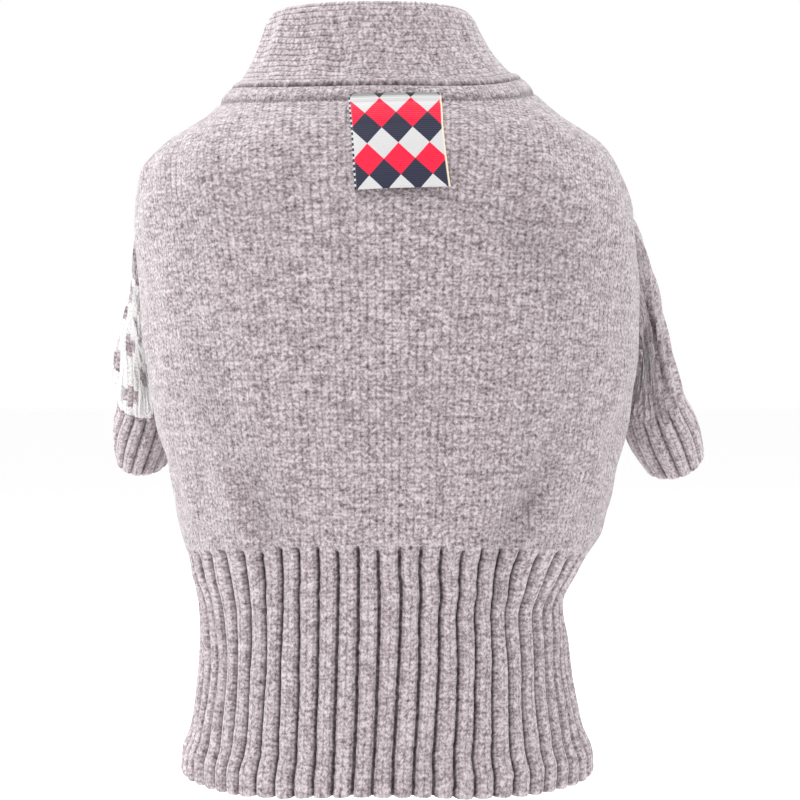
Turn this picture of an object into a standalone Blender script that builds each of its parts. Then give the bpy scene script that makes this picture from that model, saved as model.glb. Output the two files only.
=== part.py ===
"""A knitted sweater for a small dog, filled out and held upright by its neck.

Frame, in metres: +Z points to the neck, -Y is the back and +Y the chest, and +X is the
wearer's right. The origin is the middle of the neck, at the height of the collar's seam.

The body is one tube whose outline is the SECTIONS table. Every piece of cloth is a wall
lofted between two grids of points, its outer face and its inner one, so that the edges of
neighbours stay parallel at a seam. Angles run round the body from the right side (0)
through the chest (90) to the left side (180).
"""

import math

import bpy
import numpy as np

MM = 0.001

# Cloth, in mm
SEAM_GAP = 0.3
JERSEY_WALL = 1.6
RIB_WALL = 2.4
RIB_RAISED = 0.8
COLLAR_WALL = 3.0
BAND_WALL = 2.2
TAPE_WALL = 1.0
CLOTH_ROUGHNESS = 0.9
SHARP_ANGLE = 50.0

# Body, in mm: half widths and half depths of its outer face at each height
SECTION_COLUMNS = ("z", "left", "right", "back", "front")
SECTIONS = (
    (8.0, 44.4, 40.8, 38.0, 38.0),
    (5.0, 46.4, 43.2, 41.0, 41.0),
    (1.0, 49.6, 47.2, 44.5, 44.5),
    (-5.0, 54.9, 54.0, 49.8, 50.0),
    (-10.0, 62.0, 61.6, 54.4, 55.0),
    (-14.5, 68.6, 67.2, 58.5, 59.5),
    (-24.0, 76.2, 72.4, 64.0, 66.5),
    (-36.0, 77.4, 76.2, 68.0, 71.5),
    (-54.0, 75.8, 77.9, 70.0, 74.0),
    (-78.0, 74.3, 77.9, 69.8, 73.5),
    (-97.0, 71.0, 74.8, 68.0, 70.5),
    (-117.0, 66.0, 70.4, 64.8, 66.0),
    (-135.0, 62.4, 64.8, 60.5, 60.5),
    (-144.0, 59.4, 58.9, 58.0, 57.8),
    (-155.0, 57.0, 53.9, 55.8, 55.6),
    (-165.0, 56.6, 55.2, 55.2, 55.2),
    (-180.0, 57.9, 57.4, 56.2, 56.6),
    (-193.0, 59.6, 60.1, 58.2, 58.6),
    (-200.0, 62.1, 63.1, 60.0, 60.4),
    (-205.0, 62.3, 63.3, 60.4, 60.8),
)

# Soft troughs in the body's cloth: place, half spans, lean in degrees of turn per mm of
# height, and depth
FOLD_COLUMNS = ("angle", "z", "half_turn", "half_height", "lean", "depth")
FOLDS = (
    (-55.0, -121.0, 6.0, 17.0, 0.30, 1.9),
    (-121.0, -120.0, 5.0, 15.0, -0.15, 1.5),
    (-122.0, -37.0, 16.0, 8.0, 0.0, 0.8),
    (-57.0, -48.0, 13.0, 13.0, -0.4, 1.0),
    (-88.0, -96.0, 18.0, 10.0, 0.6, 0.6),
    (58.0, -118.0, 6.0, 16.0, -0.25, 1.8),
    (118.0, -122.0, 5.0, 14.0, 0.2, 1.5),
    (88.0, -34.0, 15.0, 9.0, 0.3, 0.9),
)

# Heights round the neck and the waist, in mm
SEAM_Z = {"left": 4.4, "right": 7.5, "back": -1.0, "front": -3.0}
COLLAR_TOP_Z = {"left": 26.4, "right": 26.8, "back": 25.4, "front": 26.5}
RIB_TOP_Z = {"left": -137.5, "right": -138.0, "back": -132.5, "front": -134.0}
HEM_Z = -205.0

# Collar: half widths at its top edge, and how far each height has closed in to them
COLLAR_TOP = {"left": 35.6, "right": 25.9, "back": 29.6, "front": 31.0}
COLLAR_COLUMNS = ("height", "closed")
COLLAR_PROFILE = (
    (0.0, 0.0),
    (0.1, 0.26),
    (0.25, 0.45),
    (0.45, 0.62),
    (0.7, 0.78),
    (0.9, 0.9),
    (1.0, 1.0),
)
COLLAR_ROW_SPACING = 1.3
BAND_WIDTH = 5.0
BAND_RAISED = 0.6

# Sleeves: the armhole in the body, the cuff's end and its lean in degrees, and how strongly
# the cloth leaves the top of the armhole outwards and downwards
SIDE_SEAM_ANGLE = 13.0
ARMHOLE_Z = -57.0
ARMHOLE_HALF_HEIGHT = 30.0
ARMHOLE_HALF_TURN = 13.6
CUFF_LENGTH = 19.0
CUFF_TOP_RADII = (11.0, 16.4)
CUFF_END_RADII = (9.9, 14.8)
CUFF_FULLNESS = 1.1
SLEEVE_BODY_GAP = 0.8
UNDERARM_OUT = 0.7
SLEEVE_COLUMNS = (
    "side", "cuff_x", "cuff_y", "cuff_z", "lean_out", "lean_forward", "leave_out", "leave_down",
)
SLEEVES = {
    "right": (1, 93.6, 36.0, -112.3, 21.0, 22.0, 0.3, 0.42),
    "left": (-1, -81.2, 44.0, -112.3, 8.0, 22.0, 0.0, 0.5),
}

# Woven tape tab at the back of the neck
TAB_WIDTH = 25.4
TAB_CENTRE_X = 2.7
TAB_TOP_Z, TAB_BOTTOM_Z = -4.9, -33.2
TAB_LEAN, TAB_TILT = 0.07, 0.035
TAB_CLEARANCE = 0.45
TAB_FREE_LIFT = 1.2
TAB_ROWS_OVER_BAND = 1

# Grid spans
RIM_ROWS, ARMHOLE_ROWS, WAIST_ROWS = 4, 10, 5
BACK_SPANS, CHEST_SPANS = 30, 20
RIB_ROWS = 6
RING_SPANS, BAND_ROWS, COLLAR_ROWS = 40, 2, 5
SLEEVE_ROWS, CUFF_ROWS = 7, 3
TAB_SPANS, TAB_ROWS = 6, 6

JERSEY_COLOUR = (0.42, 0.37, 0.39)
RIB_COLOUR = (0.36, 0.31, 0.33)
TAPE_COLOUR = (0.03, 0.04, 0.08)


def column(rows, columns, name):
    return np.array([row[columns.index(name)] for row in rows], float)


def eased(at, known_at, known):
    """Smooth curve through known values that never swings past them (monotone cubic)."""
    order = np.argsort(known_at)
    x, y = known_at[order], known[order]
    step, rise = np.diff(x), np.diff(y) / np.diff(x)
    slope = np.concatenate([rise[:1], np.zeros(len(x) - 2), rise[-1:]])
    same_way = rise[:-1] * rise[1:] > 0
    before, after = 2 * step[1:] + step[:-1], step[1:] + 2 * step[:-1]
    with np.errstate(divide="ignore", invalid="ignore"):
        mean = (before + after) / (before / rise[:-1] + after / rise[1:])
    slope[1:-1] = np.where(same_way, mean, 0.0)
    i = np.clip(np.searchsorted(x, at) - 1, 0, len(step) - 1)
    t = (at - x[i]) / step[i]
    return (
        y[i] * (1 + 2 * t) * (1 - t) ** 2
        + y[i + 1] * t * t * (3 - 2 * t)
        + step[i] * (slope[i] * t * (1 - t) ** 2 + slope[i + 1] * t * t * (t - 1))
    )


def section(z, name):
    """The body's half width or half depth on the named side at height z."""
    heights = column(SECTIONS, SECTION_COLUMNS, "z")
    return eased(z, heights, column(SECTIONS, SECTION_COLUMNS, name))


def round_ring(angle, values):
    """A value that is given at the four sides, eased round the ring."""
    across = np.where(np.cos(angle) > 0, values["right"], values["left"])
    along = np.where(np.sin(angle) > 0, values["front"], values["back"])
    return across * np.cos(angle) ** 2 + along * np.sin(angle) ** 2


def fold_depth(angle, z):
    """How deep the soft troughs press the cloth in at a point of the body."""
    depth = np.zeros(np.broadcast(angle, z).shape)
    for row in FOLDS:
        fold = dict(zip(FOLD_COLUMNS, row))
        turn = np.degrees(angle) - fold["angle"] - fold["lean"] * (z - fold["z"])
        turn = (turn + 180) % 360 - 180
        near = (turn / fold["half_turn"]) ** 2 + ((z - fold["z"]) / fold["half_height"]) ** 2
        depth += fold["depth"] * np.exp(-near)
    return depth


def half_sizes(angle, z):
    """The body's half width and half depth on the side that an angle looks to."""
    side = np.where(np.cos(angle) > 0, section(z, "right"), section(z, "left"))
    depth = np.where(np.sin(angle) > 0, section(z, "front"), section(z, "back"))
    return side, depth


def body_point(angle, z, out=0.0):
    """Points on the body's outer face, moved level by what makes its wall out thicker."""
    angle, z = np.broadcast_arrays(np.asarray(angle, float), np.asarray(z, float))
    side, depth = half_sizes(angle, z)
    higher_side, higher_depth = half_sizes(angle, z + 1.0)
    lower_side, lower_depth = half_sizes(angle, z - 1.0)
    slope = (
        (higher_side - lower_side) * np.cos(angle) ** 2
        + (higher_depth - lower_depth) * np.sin(angle) ** 2
    ) / 2
    move = out * np.hypot(1, slope) - fold_depth(angle, z)
    return np.stack([(side + move) * np.cos(angle), (depth + move) * np.sin(angle), z], -1)


def body_share(points):
    """1 on the body's outer face, under 1 inside it and over 1 outside."""
    x, y, z = np.moveaxis(points, -1, 0)
    side = np.where(x > 0, section(z, "right"), section(z, "left"))
    depth = np.where(y > 0, section(z, "front"), section(z, "back"))
    return np.hypot(x / side, y / depth)


def clear_of_body(points, gap):
    """Moves any point that is nearer than gap to the body straight out to that gap."""
    wanted = 1 + gap / np.hypot(points[..., 0], points[..., 1])
    grow = np.maximum(1, wanted / body_share(points))
    return points * np.stack([grow, grow, np.ones_like(grow)], -1)


def unit(vector):
    return vector / np.linalg.norm(vector, axis=-1, keepdims=True)


def cloth_material(name, colour):
    material = bpy.data.materials.new(name)
    material.use_nodes = True
    shader = material.node_tree.nodes["Principled BSDF"]
    shader.inputs["Base Color"].default_value = (*colour, 1)
    shader.inputs["Roughness"].default_value = CLOTH_ROUGHNESS
    shader.inputs["Metallic"].default_value = 0.0
    return material


def between(first, second):
    """Quads that join two lines of point numbers, or two grids of them."""
    corners = [first[..., :-1], first[..., 1:], second[..., 1:], second[..., :-1]]
    return np.stack(corners, -1).reshape(-1, 4)


def cloth(name, faces, material, collection, ring=False, flip=False):
    """A wall of cloth lofted between its outer and its inner grid of points, in mm.

    Rows run down the piece and columns round it, anticlockwise from above. A ring joins
    its last column to its first, and flip turns the faces of a grid that runs the other way.
    """
    outer, inner = faces
    rows, columns = outer.shape[:2]
    front = np.arange(rows * columns).reshape(rows, columns)
    if ring:
        front = np.hstack([front, front[:, :1]])
    rear = front + rows * columns
    quads = [between(front[1:], front[:-1]), between(rear[:-1], rear[1:])]
    quads += [between(front[0], rear[0]), between(rear[-1], front[-1])]
    if not ring:
        quads += [between(rear[:, 0], front[:, 0]), between(front[:, -1], rear[:, -1])]
    quads = np.concatenate(quads)
    if flip:
        quads = quads[:, ::-1]
    points = np.concatenate([outer.reshape(-1, 3), inner.reshape(-1, 3)]) * MM
    mesh = bpy.data.meshes.new(name)
    mesh.from_pydata(points.tolist(), [], quads.tolist())
    mesh.materials.append(material)
    mesh.shade_smooth()
    mesh.set_sharp_from_angle(angle=math.radians(SHARP_ANGLE))
    obj = bpy.data.objects.new(name, mesh)
    collection.objects.link(obj)
    return obj


def inset(outer, wall, flip=False):
    """A ring-shaped grid moved inwards along its own normals by the thickness of its wall."""
    down = np.gradient(outer, axis=0)
    onward = np.roll(outer, -1, 1) - np.roll(outer, 1, 1)
    outwards = unit(np.cross(onward, down) if flip else np.cross(down, onward))
    return outer - wall * outwards


def body_wall(angle, z, raised, wall):
    """Both faces of a wall that follows the body, its outer face raised over the jersey."""
    return body_point(angle, z, raised), body_point(angle, z, raised - wall)


def panel_heights():
    """Row heights of a body panel at its side edges, level with the armhole's points."""
    top = float(round_ring(0.0, SEAM_Z)) - BAND_WIDTH - SEAM_GAP
    low = float(round_ring(0.0, RIB_TOP_Z))
    turn = np.linspace(0, math.pi, ARMHOLE_ROWS + 1)
    armhole = ARMHOLE_Z + ARMHOLE_HALF_HEIGHT * np.cos(turn)
    above = np.linspace(top, armhole[0], RIM_ROWS + 1)[:-1]
    below = np.linspace(armhole[-1], low, WAIST_ROWS + 1)[1:]
    return np.concatenate([above, armhole, below])


def panel_angles(seams, spans, heights, scoop=0.0):
    """Angles across a panel at each height, from one side seam to the other."""
    edge = SEAM_GAP / 2 / section(heights, "front") + scoop
    start, end = math.radians(seams[0]) + edge, math.radians(seams[1]) - edge
    share = np.linspace(0, 1, spans + 1)
    return start[:, None] + (end - start)[:, None] * share


def body_panel(seams, spans):
    """A jersey panel between two side seams, scooped at both armholes.

    The neckline and the waistline bend the rows above and below the armholes.
    """
    heights = panel_heights()
    share = np.clip((heights - ARMHOLE_Z) / ARMHOLE_HALF_HEIGHT, -1, 1)
    scoop = math.radians(ARMHOLE_HALF_TURN) * np.sqrt(1 - share**2)
    angle = panel_angles(seams, spans, heights, scoop)
    hole_top, hole_low = heights[RIM_ROWS], heights[-1 - WAIST_ROWS]
    neck = round_ring(angle, SEAM_Z) - BAND_WIDTH - SEAM_GAP
    waist = round_ring(angle, RIB_TOP_Z)
    near_neck = np.clip((heights - hole_top) / (heights[0] - hole_top), 0, 1)[:, None]
    near_waist = np.clip((hole_low - heights) / (hole_low - heights[-1]), 0, 1)[:, None]
    z = heights[:, None] + near_neck * (neck - heights[0]) + near_waist * (waist - heights[-1])
    return body_wall(angle, z, 0.0, JERSEY_WALL)


def rib_panel(seams, spans):
    """The ribbed waist below a jersey panel, down to the level hem."""
    share = np.linspace(0, 1, RIB_ROWS + 1)
    side_top = float(round_ring(0.0, RIB_TOP_Z)) - SEAM_GAP
    angle = panel_angles(seams, spans, side_top + (HEM_Z - side_top) * share)
    top = round_ring(angle, RIB_TOP_Z) - SEAM_GAP
    return body_wall(angle, top + (HEM_Z - top) * share[:, None], RIB_RAISED, RIB_WALL)


def neck_band():
    """The narrow trim below the neckline's seam, raised a little over the body."""
    angle = np.linspace(0, 2 * math.pi, RING_SPANS, endpoint=False)
    drop = np.linspace(0, BAND_WIDTH, BAND_ROWS + 1)[:, None]
    return body_wall(angle, round_ring(angle, SEAM_Z) - drop, BAND_RAISED, BAND_WALL)


def collar():
    """The standing collar: it closes in quickly over the seam and then rises steeply."""
    angle = np.linspace(0, 2 * math.pi, RING_SPANS, endpoint=False)
    height = np.linspace(1, 0, COLLAR_ROWS + 1) ** COLLAR_ROW_SPACING
    closed = eased(
        height,
        column(COLLAR_PROFILE, COLLAR_COLUMNS, "height"),
        column(COLLAR_PROFILE, COLLAR_COLUMNS, "closed"),
    )[:, None]
    low_z = round_ring(angle, SEAM_Z) + SEAM_GAP
    low, low_inside = body_wall(angle, low_z, BAND_RAISED, BAND_WALL)
    across = np.where(np.cos(angle) > 0, COLLAR_TOP["right"], COLLAR_TOP["left"])
    along = np.where(np.sin(angle) > 0, COLLAR_TOP["front"], COLLAR_TOP["back"])
    x = low[:, 0] + (across * np.cos(angle) - low[:, 0]) * closed
    y = low[:, 1] + (along * np.sin(angle) - low[:, 1]) * closed
    z = low_z + (round_ring(angle, COLLAR_TOP_Z) - low_z) * height[:, None]
    outer = np.stack([x, y, z], -1)
    inner = inset(outer, COLLAR_WALL)
    inner[-1] = low_inside
    return outer, inner


def cuff_frame(sleeve):
    """Middle of the cuff's end, its direction, and its outward and forward directions."""
    end = np.array([sleeve["cuff_x"], sleeve["cuff_y"], sleeve["cuff_z"]])
    out = math.tan(math.radians(sleeve["lean_out"])) * sleeve["side"]
    forward = math.tan(math.radians(sleeve["lean_forward"]))
    along = unit(np.array([out, forward, -1.0]))
    front = unit(np.array([0, 1.0, 0]) - along[1] * along)
    side = np.cross(along, front) * sleeve["side"]
    return end, along, side, front


def cuff_ring(sleeve, turn, from_end, deep=0.0):
    """A ring round the sleeve's end, from_end back from the cuff's edge and deep inside it."""
    end, along, side, front = cuff_frame(sleeve)
    share = from_end / CUFF_LENGTH
    more = CUFF_FULLNESS * math.sin(math.pi * min(share, 1)) - deep
    half_side, half_front = (
        edge + (top - edge) * share + more for top, edge in zip(CUFF_TOP_RADII, CUFF_END_RADII)
    )
    around = half_side * np.cos(turn)[:, None] * side + half_front * np.sin(turn)[:, None] * front
    return end - from_end * along + around


def sleeve_tube(sleeve):
    """A sleeve from its armhole to the top of its cuff, clear of the body beside it."""
    turn = np.linspace(0, 2 * math.pi, 2 * ARMHOLE_ROWS, endpoint=False)
    half_turn = math.radians(ARMHOLE_HALF_TURN) - SEAM_GAP / section(ARMHOLE_Z, "right")
    seam = math.radians(SIDE_SEAM_ANGLE)
    middle = seam if sleeve["side"] > 0 else math.pi - seam
    angle = middle + sleeve["side"] * half_turn * np.sin(turn)
    z = ARMHOLE_Z + (ARMHOLE_HALF_HEIGHT - SEAM_GAP) * np.cos(turn)
    start = body_point(angle, z)
    outwards = unit(body_point(angle, z, 1.0) - start)
    downwards = unit(body_point(angle, z - 1.0) - start)
    seam_to_edge = CUFF_LENGTH + SEAM_GAP
    end = cuff_ring(sleeve, turn, seam_to_edge)
    length = np.linalg.norm(end - start, axis=-1, keepdims=True)
    under = (1 - np.cos(turn))[:, None] / 2
    out = sleeve["leave_out"] + (UNDERARM_OUT - sleeve["leave_out"]) * under
    leave = length * (out * outwards + sleeve["leave_down"] * (1 - under) * downwards)
    arrive = length * cuff_frame(sleeve)[1]
    t = np.linspace(0, 1, SLEEVE_ROWS + 1)[:, None, None]
    outer = (
        start * (1 + 2 * t) * (1 - t) ** 2
        + leave * t * (1 - t) ** 2
        + end * t * t * (3 - 2 * t)
        + arrive * t * t * (t - 1)
    )
    outer[1:-1] = clear_of_body(outer[1:-1], SLEEVE_BODY_GAP)
    inner = inset(outer, JERSEY_WALL, sleeve["side"] < 0)
    inner[-1] = cuff_ring(sleeve, turn, seam_to_edge, JERSEY_WALL)
    return outer, inner


def cuff_tube(sleeve):
    """A ribbed cuff, its outer face level with the sleeve's."""
    turn = np.linspace(0, 2 * math.pi, 2 * ARMHOLE_ROWS, endpoint=False)
    rings = np.linspace(CUFF_LENGTH, 0, CUFF_ROWS + 1)
    outer = np.stack([cuff_ring(sleeve, turn, from_end) for from_end in rings])
    inner = np.stack([cuff_ring(sleeve, turn, from_end, RIB_WALL) for from_end in rings])
    return outer, inner


def neck_tab():
    """The tape tab: the back's own points moved out, over the band and down to a free end."""
    across = np.linspace(-TAB_WIDTH / 2, TAB_WIDTH / 2, TAB_SPANS + 1)[None, :]
    down = np.linspace(0, 1, TAB_ROWS + 1)[:, None]
    z = TAB_TOP_Z + (TAB_BOTTOM_Z - TAB_TOP_Z) * down + TAB_TILT * across
    x = TAB_CENTRE_X + across + TAB_LEAN * (TAB_TOP_Z - z)
    reach = np.where(x > 0, section(z, "right"), section(z, "left"))
    over_band = BAND_RAISED * np.clip(1 + TAB_ROWS_OVER_BAND - down * TAB_ROWS, 0, 1)
    raised = TAPE_WALL + TAB_CLEARANCE + over_band + TAB_FREE_LIFT * down**3
    return body_wall(-np.arccos(x / reach), z, raised, TAPE_WALL)


def main():
    for obj in list(bpy.data.objects):
        bpy.data.objects.remove(obj)
    collection = bpy.data.collections.new("dog_sweater")
    bpy.context.scene.collection.children.link(collection)

    jersey = cloth_material("jersey", JERSEY_COLOUR)
    rib = cloth_material("rib", RIB_COLOUR)
    tape = cloth_material("tape", TAPE_COLOUR)

    over_back = (-180 - SIDE_SEAM_ANGLE, SIDE_SEAM_ANGLE)
    over_chest = (SIDE_SEAM_ANGLE, 180 - SIDE_SEAM_ANGLE)
    cloth("back", body_panel(over_back, BACK_SPANS), jersey, collection)
    cloth("chest", body_panel(over_chest, CHEST_SPANS), jersey, collection)
    cloth("waist_rib_back", rib_panel(over_back, BACK_SPANS), rib, collection)
    cloth("waist_rib_chest", rib_panel(over_chest, CHEST_SPANS), rib, collection)
    cloth("neck_band", neck_band(), rib, collection, ring=True)
    cloth("collar", collar(), rib, collection, ring=True)
    for name, row in SLEEVES.items():
        sleeve = dict(zip(SLEEVE_COLUMNS, row))
        turned = sleeve["side"] < 0
        cloth(f"sleeve_{name}", sleeve_tube(sleeve), jersey, collection, True, turned)
        cloth(f"cuff_{name}", cuff_tube(sleeve), rib, collection, True, turned)
    cloth("neck_tab", neck_tab(), tape, collection)


main()
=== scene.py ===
"""Looks of a knitted dog sweater, laid out as an add-on and run as a script.

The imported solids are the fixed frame. Each of them is replaced by a fine knitted wall on its
form. Lengths are worked out in mm and become metres in the meshes. Angles run round the body
from the wearer's right side (0) through the chest (90) to the left side (180).
"""

import math

import bpy
import numpy as np
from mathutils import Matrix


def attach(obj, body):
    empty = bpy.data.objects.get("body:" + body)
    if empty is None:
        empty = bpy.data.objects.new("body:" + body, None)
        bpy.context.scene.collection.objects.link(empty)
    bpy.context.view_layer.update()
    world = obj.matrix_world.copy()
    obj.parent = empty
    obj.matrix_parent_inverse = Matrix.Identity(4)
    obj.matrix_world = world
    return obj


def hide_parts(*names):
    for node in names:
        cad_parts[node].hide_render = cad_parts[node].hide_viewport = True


bl_info = {
    "name": "Knitted dog sweater",
    "version": (1, 0, 0),
    "blender": (4, 5, 0),
    "location": "3D View > Sidebar > Sweater",
    "description": "Builds the knitted surfaces of a dog sweater round its packed solids",
    "category": "Mesh",
}

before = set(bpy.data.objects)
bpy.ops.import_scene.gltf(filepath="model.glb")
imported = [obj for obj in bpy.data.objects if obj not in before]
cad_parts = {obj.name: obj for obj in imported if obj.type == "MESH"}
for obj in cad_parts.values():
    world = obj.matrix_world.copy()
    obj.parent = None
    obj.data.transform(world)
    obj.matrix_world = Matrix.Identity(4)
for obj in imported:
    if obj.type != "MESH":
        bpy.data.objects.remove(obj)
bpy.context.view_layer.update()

MM = 0.001

# ---------------------------------------------------------------- form, on or close to the solids

# Half widths and half depths of the body's outer face
SECTION_COLUMNS = ("z", "left", "right", "back", "front")
SECTIONS = (
    (8, 44.4, 40.8, 38, 38),
    (5, 46.4, 43.2, 41, 41),
    (1, 49.6, 47.2, 44.5, 44.5),
    (-5, 54.9, 54, 49.8, 50),
    (-10, 62, 61.6, 54.4, 55),
    (-14.5, 68.6, 67.2, 58.5, 59.5),
    (-24, 76.2, 72.4, 64, 66.5),
    (-36, 77.4, 76.2, 68, 71.5),
    (-54, 75.8, 77.9, 70, 74),
    (-78, 74.3, 77.9, 69.8, 73.5),
    (-97, 71, 74.8, 68, 70.5),
    (-117, 66, 70.4, 64.8, 66),
    (-135, 62.4, 64.8, 60.5, 60.5),
    (-144, 59.4, 58.9, 58, 57.8),
    (-155, 57, 53.9, 55.8, 55.6),
    (-165, 56.6, 55.2, 55.2, 55.2),
    (-180, 57.9, 57.4, 56.2, 56.6),
    (-193, 59.6, 60.1, 58.2, 58.6),
    (-200, 62.1, 63.1, 60, 60.4),
    (-205, 62.3, 63.3, 60.4, 60.8),
)

# Soft troughs, and ridges where the depth is negative: lean is in degrees of turn per mm
FOLD_COLUMNS = ("angle", "z", "half_turn", "half_height", "lean", "depth")
FOLDS = (
    (-55, -121, 6, 17, 0.3, 1.9),
    (-121, -120, 5, 15, -0.15, 1.5),
    (-122, -37, 16, 8, 0, 0.8),
    (-57, -48, 13, 13, -0.4, 1),
    (-88, -96, 18, 10, 0.6, 0.6),
    (58, -118, 6, 16, -0.25, 1.8),
    (118, -122, 5, 14, 0.2, 1.5),
    (88, -34, 15, 9, 0.3, 0.9),
)

NECK_SEAM_Z = {"left": 3.8, "right": 7.2, "back": -1.2, "front": -3.0}
COLLAR_TOP_Z = {"left": 26.4, "right": 26.8, "back": 25.4, "front": 26.5}
COLLAR_TOP = {"left": 35.6, "right": 25.9, "back": 29.6, "front": 31.0}
RIB_TOP_Z = {"left": -137.5, "right": -138.0, "back": -132.5, "front": -134.0}
HEM_Z = -205.0

JERSEY_WALL, RIB_WALL, COLLAR_WALL, BAND_WALL, TAPE_WALL = 1.6, 2.4, 3.0, 2.2, 1.0
RIB_RAISED, BAND_RAISED = 0.8, 0.6
BAND_WIDTH = 4.9

# How far the collar has closed in towards its top edge at each share of its height
COLLAR_COLUMNS = ("height", "closed")
COLLAR_PROFILE = ((0, 0), (0.1, 0.26), (0.25, 0.45), (0.45, 0.62), (0.7, 0.78), (0.9, 0.9), (1, 1))
COLLAR_FRONT_SEAM = 90.0

SIDE_SEAM_ANGLE = 13.0
PANEL_SEAMS = {
    "back": (-180 - SIDE_SEAM_ANGLE, SIDE_SEAM_ANGLE),
    "chest": (SIDE_SEAM_ANGLE, 180 - SIDE_SEAM_ANGLE),
}
ARMHOLE_Z, ARMHOLE_HALF_HEIGHT, ARMHOLE_HALF_TURN = -57.0, 30.0, 13.6
CUFF_LENGTH = 19.0
CUFF_TOP_RADII, CUFF_END_RADII = (11.0, 16.4), (9.9, 14.8)
CUFF_FULLNESS = 1.1
SLEEVE_BODY_GAP = 0.8
UNDERARM_OUT = 0.7

# Sleeves: the side they are on, the middle of the cuff's end and how far it leans, how
# strongly the cloth leaves the armhole, and how much slimmer and more twisted the cuff is
SLEEVE_COLUMNS = (
    "side", "cuff_x", "cuff_y", "cuff_z", "lean_out", "lean_forward", "leave_out", "leave_down",
    "slimmer", "twist",
)
SLEEVES = {
    "right": (1, 94.0, 36.0, -111.0, 25.0, 22.0, 0.3, 0.42, 0.0, 0.0),
    "left": (-1, -80.9, 44.0, -110.5, 8.0, 22.0, 0.0, 0.5, 1.2, 24.0),
}

TAB_WIDTH = 25.4
TAB_CENTRE_X, TAB_TOP_Z, TAB_BOTTOM_Z = 2.7, -4.9, -33.2
TAB_LEAN, TAB_TILT = 0.07, 0.035
TAB_CLEARANCE = 0.45

# ---------------------------------------------------------------- looks, in mm and degrees

# Smaller creases and ridges, in the same terms as FOLDS
CREASES = (
    (-51, -120, 5, 18, 0.48, 1.3),
    (-126, -123, 4.4, 15, -0.3, 1.6),
    (-134, -119, 4, 12, -0.25, -0.5),
    (-46, -112, 4, 10, 0.3, -0.4),
    (-58, -45, 8, 10, -0.4, 0.8),
    (-73, -71, 5, 5, 0.6, 0.45),
    (-79, -103, 6, 4, 0, 0.4),
    (-135, -92, 7, 12, 0.1, 1.1),
    (-112, -71, 5, 5, -0.5, 0.4),
    (-103, -88, 5, 3.5, 0.6, 0.4),
    (-56, -146, 5, 8, 0.3, 0.9),
    (-122, -146, 4, 7, -0.2, 0.7),
    (52, -62, 6, 12, 0.3, 0.7),
    (75, -74, 6, 5, 0.5, 0.45),
    (98, -56, 9, 5, -0.3, 0.5),
    (112, -93, 4.5, 9, -0.3, 0.7),
    (61, -122, 3.2, 13, -0.3, 1),
    (120, -124, 3.6, 11, 0.25, 1),
    (92, -143, 5, 7, 0.1, 0.7),
)

# How much darker the cloth is painted, as shade, for each mm that it lies down in a fold
PAINTED_FOLD_SHADE = 0.12

# Creases down a sleeve: place round it, half width, lean over the sleeve's length, the shares
# of that length where it starts and ends, depth, and how dark its painted shade is from 0 to 1
SLEEVE_CREASES = {
    "right": (
        (264, 7, 36, 0.1, 1.02, 0.8, 1),
        (238, 26, 34, 0.1, 1.1, 1.2, 0.4),
        (300, 18, 18, 0.3, 1, -0.6, 0),
        (118, 15, -18, 0.25, 0.9, 1, 0.1),
        (70, 12, 15, 0.3, 0.8, 0.8, 0.1),
    ),
    "left": (
        (262, 14, 22, 0.18, 0.98, 1.2, 0.15),
        (222, 11, -10, 0.35, 0.9, 0.8, 0.1),
        (0, 48, 0, 0.45, 1.05, -2, 0),
        (115, 15, -15, 0.25, 0.9, 1, 0.1),
        (66, 12, 18, 0.3, 0.8, 0.9, 0.1),
    ),
}

# How far above the seam the cuff's gutters reach up the sleeve at most
GUTTER_REACH = {"right": 9.0, "left": 4.0}

# Grid steps along and across the cloth, and grid points across one rib and round a rim
JERSEY_STEP, RIB_STEP = 1.4, 1.3
RIB_SAMPLES, COLLAR_RIB_SAMPLES = 14, 8
RIM_POINTS = 4
SHARP_ANGLE = 50.0

# Steps from 0 to 1 that are drawn together at both ends
GATHERED = 0.5 - 0.5 * np.cos(np.linspace(0, math.pi, 15))

# Seams: how deep the cloth is drawn in, how far from the seam that reaches, and how far from
# the neck, the waist and a side seam the cloth lies smooth
SEAM_DIP, SEAM_REACH = 0.55, 1.1
NECK_DIP, NECK_REACH = 1.2, 0.8
LINK_DIP, LINK_REACH = 0.4, 0.8
SMOOTH_NECK, SMOOTH_WAIST, SMOOTH_SIDE = 12, 6, 8

# Width that the middle wales are drawn out to on the way down from the neck to the ribs
WALE_COLUMNS = ("z", "width")
WALE_WIDTHS = ((5, 2.75), (-20, 2.66), (-46, 2.46), (-80, 2.25), (-117, 2.08), (-140, 2))

# Slow swells of the cloth: waves round the body, waves over its height, and size
SWELL_SEED, SWELL_COUNT, SWELL_SIZE = 7, 26, 0.08
SWELL_ROUND, SWELL_UP = (3, 30), 22.0

# Ribs: two knit wales on the ridge and one purl wale in the gutter, how round the ridge is,
# and up to what share of its height the gutter's painted shade reaches
RIB_WALES = 3
RIB_FULLNESS = 3.0
GUTTER_FLOOR = 0.12
SHADE_TO = 0.75

# Share of the gutters' depth that the inner face follows
RIB_INSIDE, COLLAR_INSIDE, CUFF_INSIDE, SLEEVE_INSIDE = 0.35, 0.3, 0.3, 0.5

# Waist ribs: where one gutter lies, how far below the jersey a gutter has opened, how much
# later some of them do, how far down the ribs have swelled, how much each one wanders, and
# for how many ribs from a side seam it is held
VALLEY_ANGLE = -86.3
RIB_START, RIB_UNEVEN, RIB_SWELL = 1.2, 0.9, 9.0
RIB_WANDER, RIB_TREMBLE, RIB_WAVE, RIB_HELD = 0.12, 0.08, 11, 1.5
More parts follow.
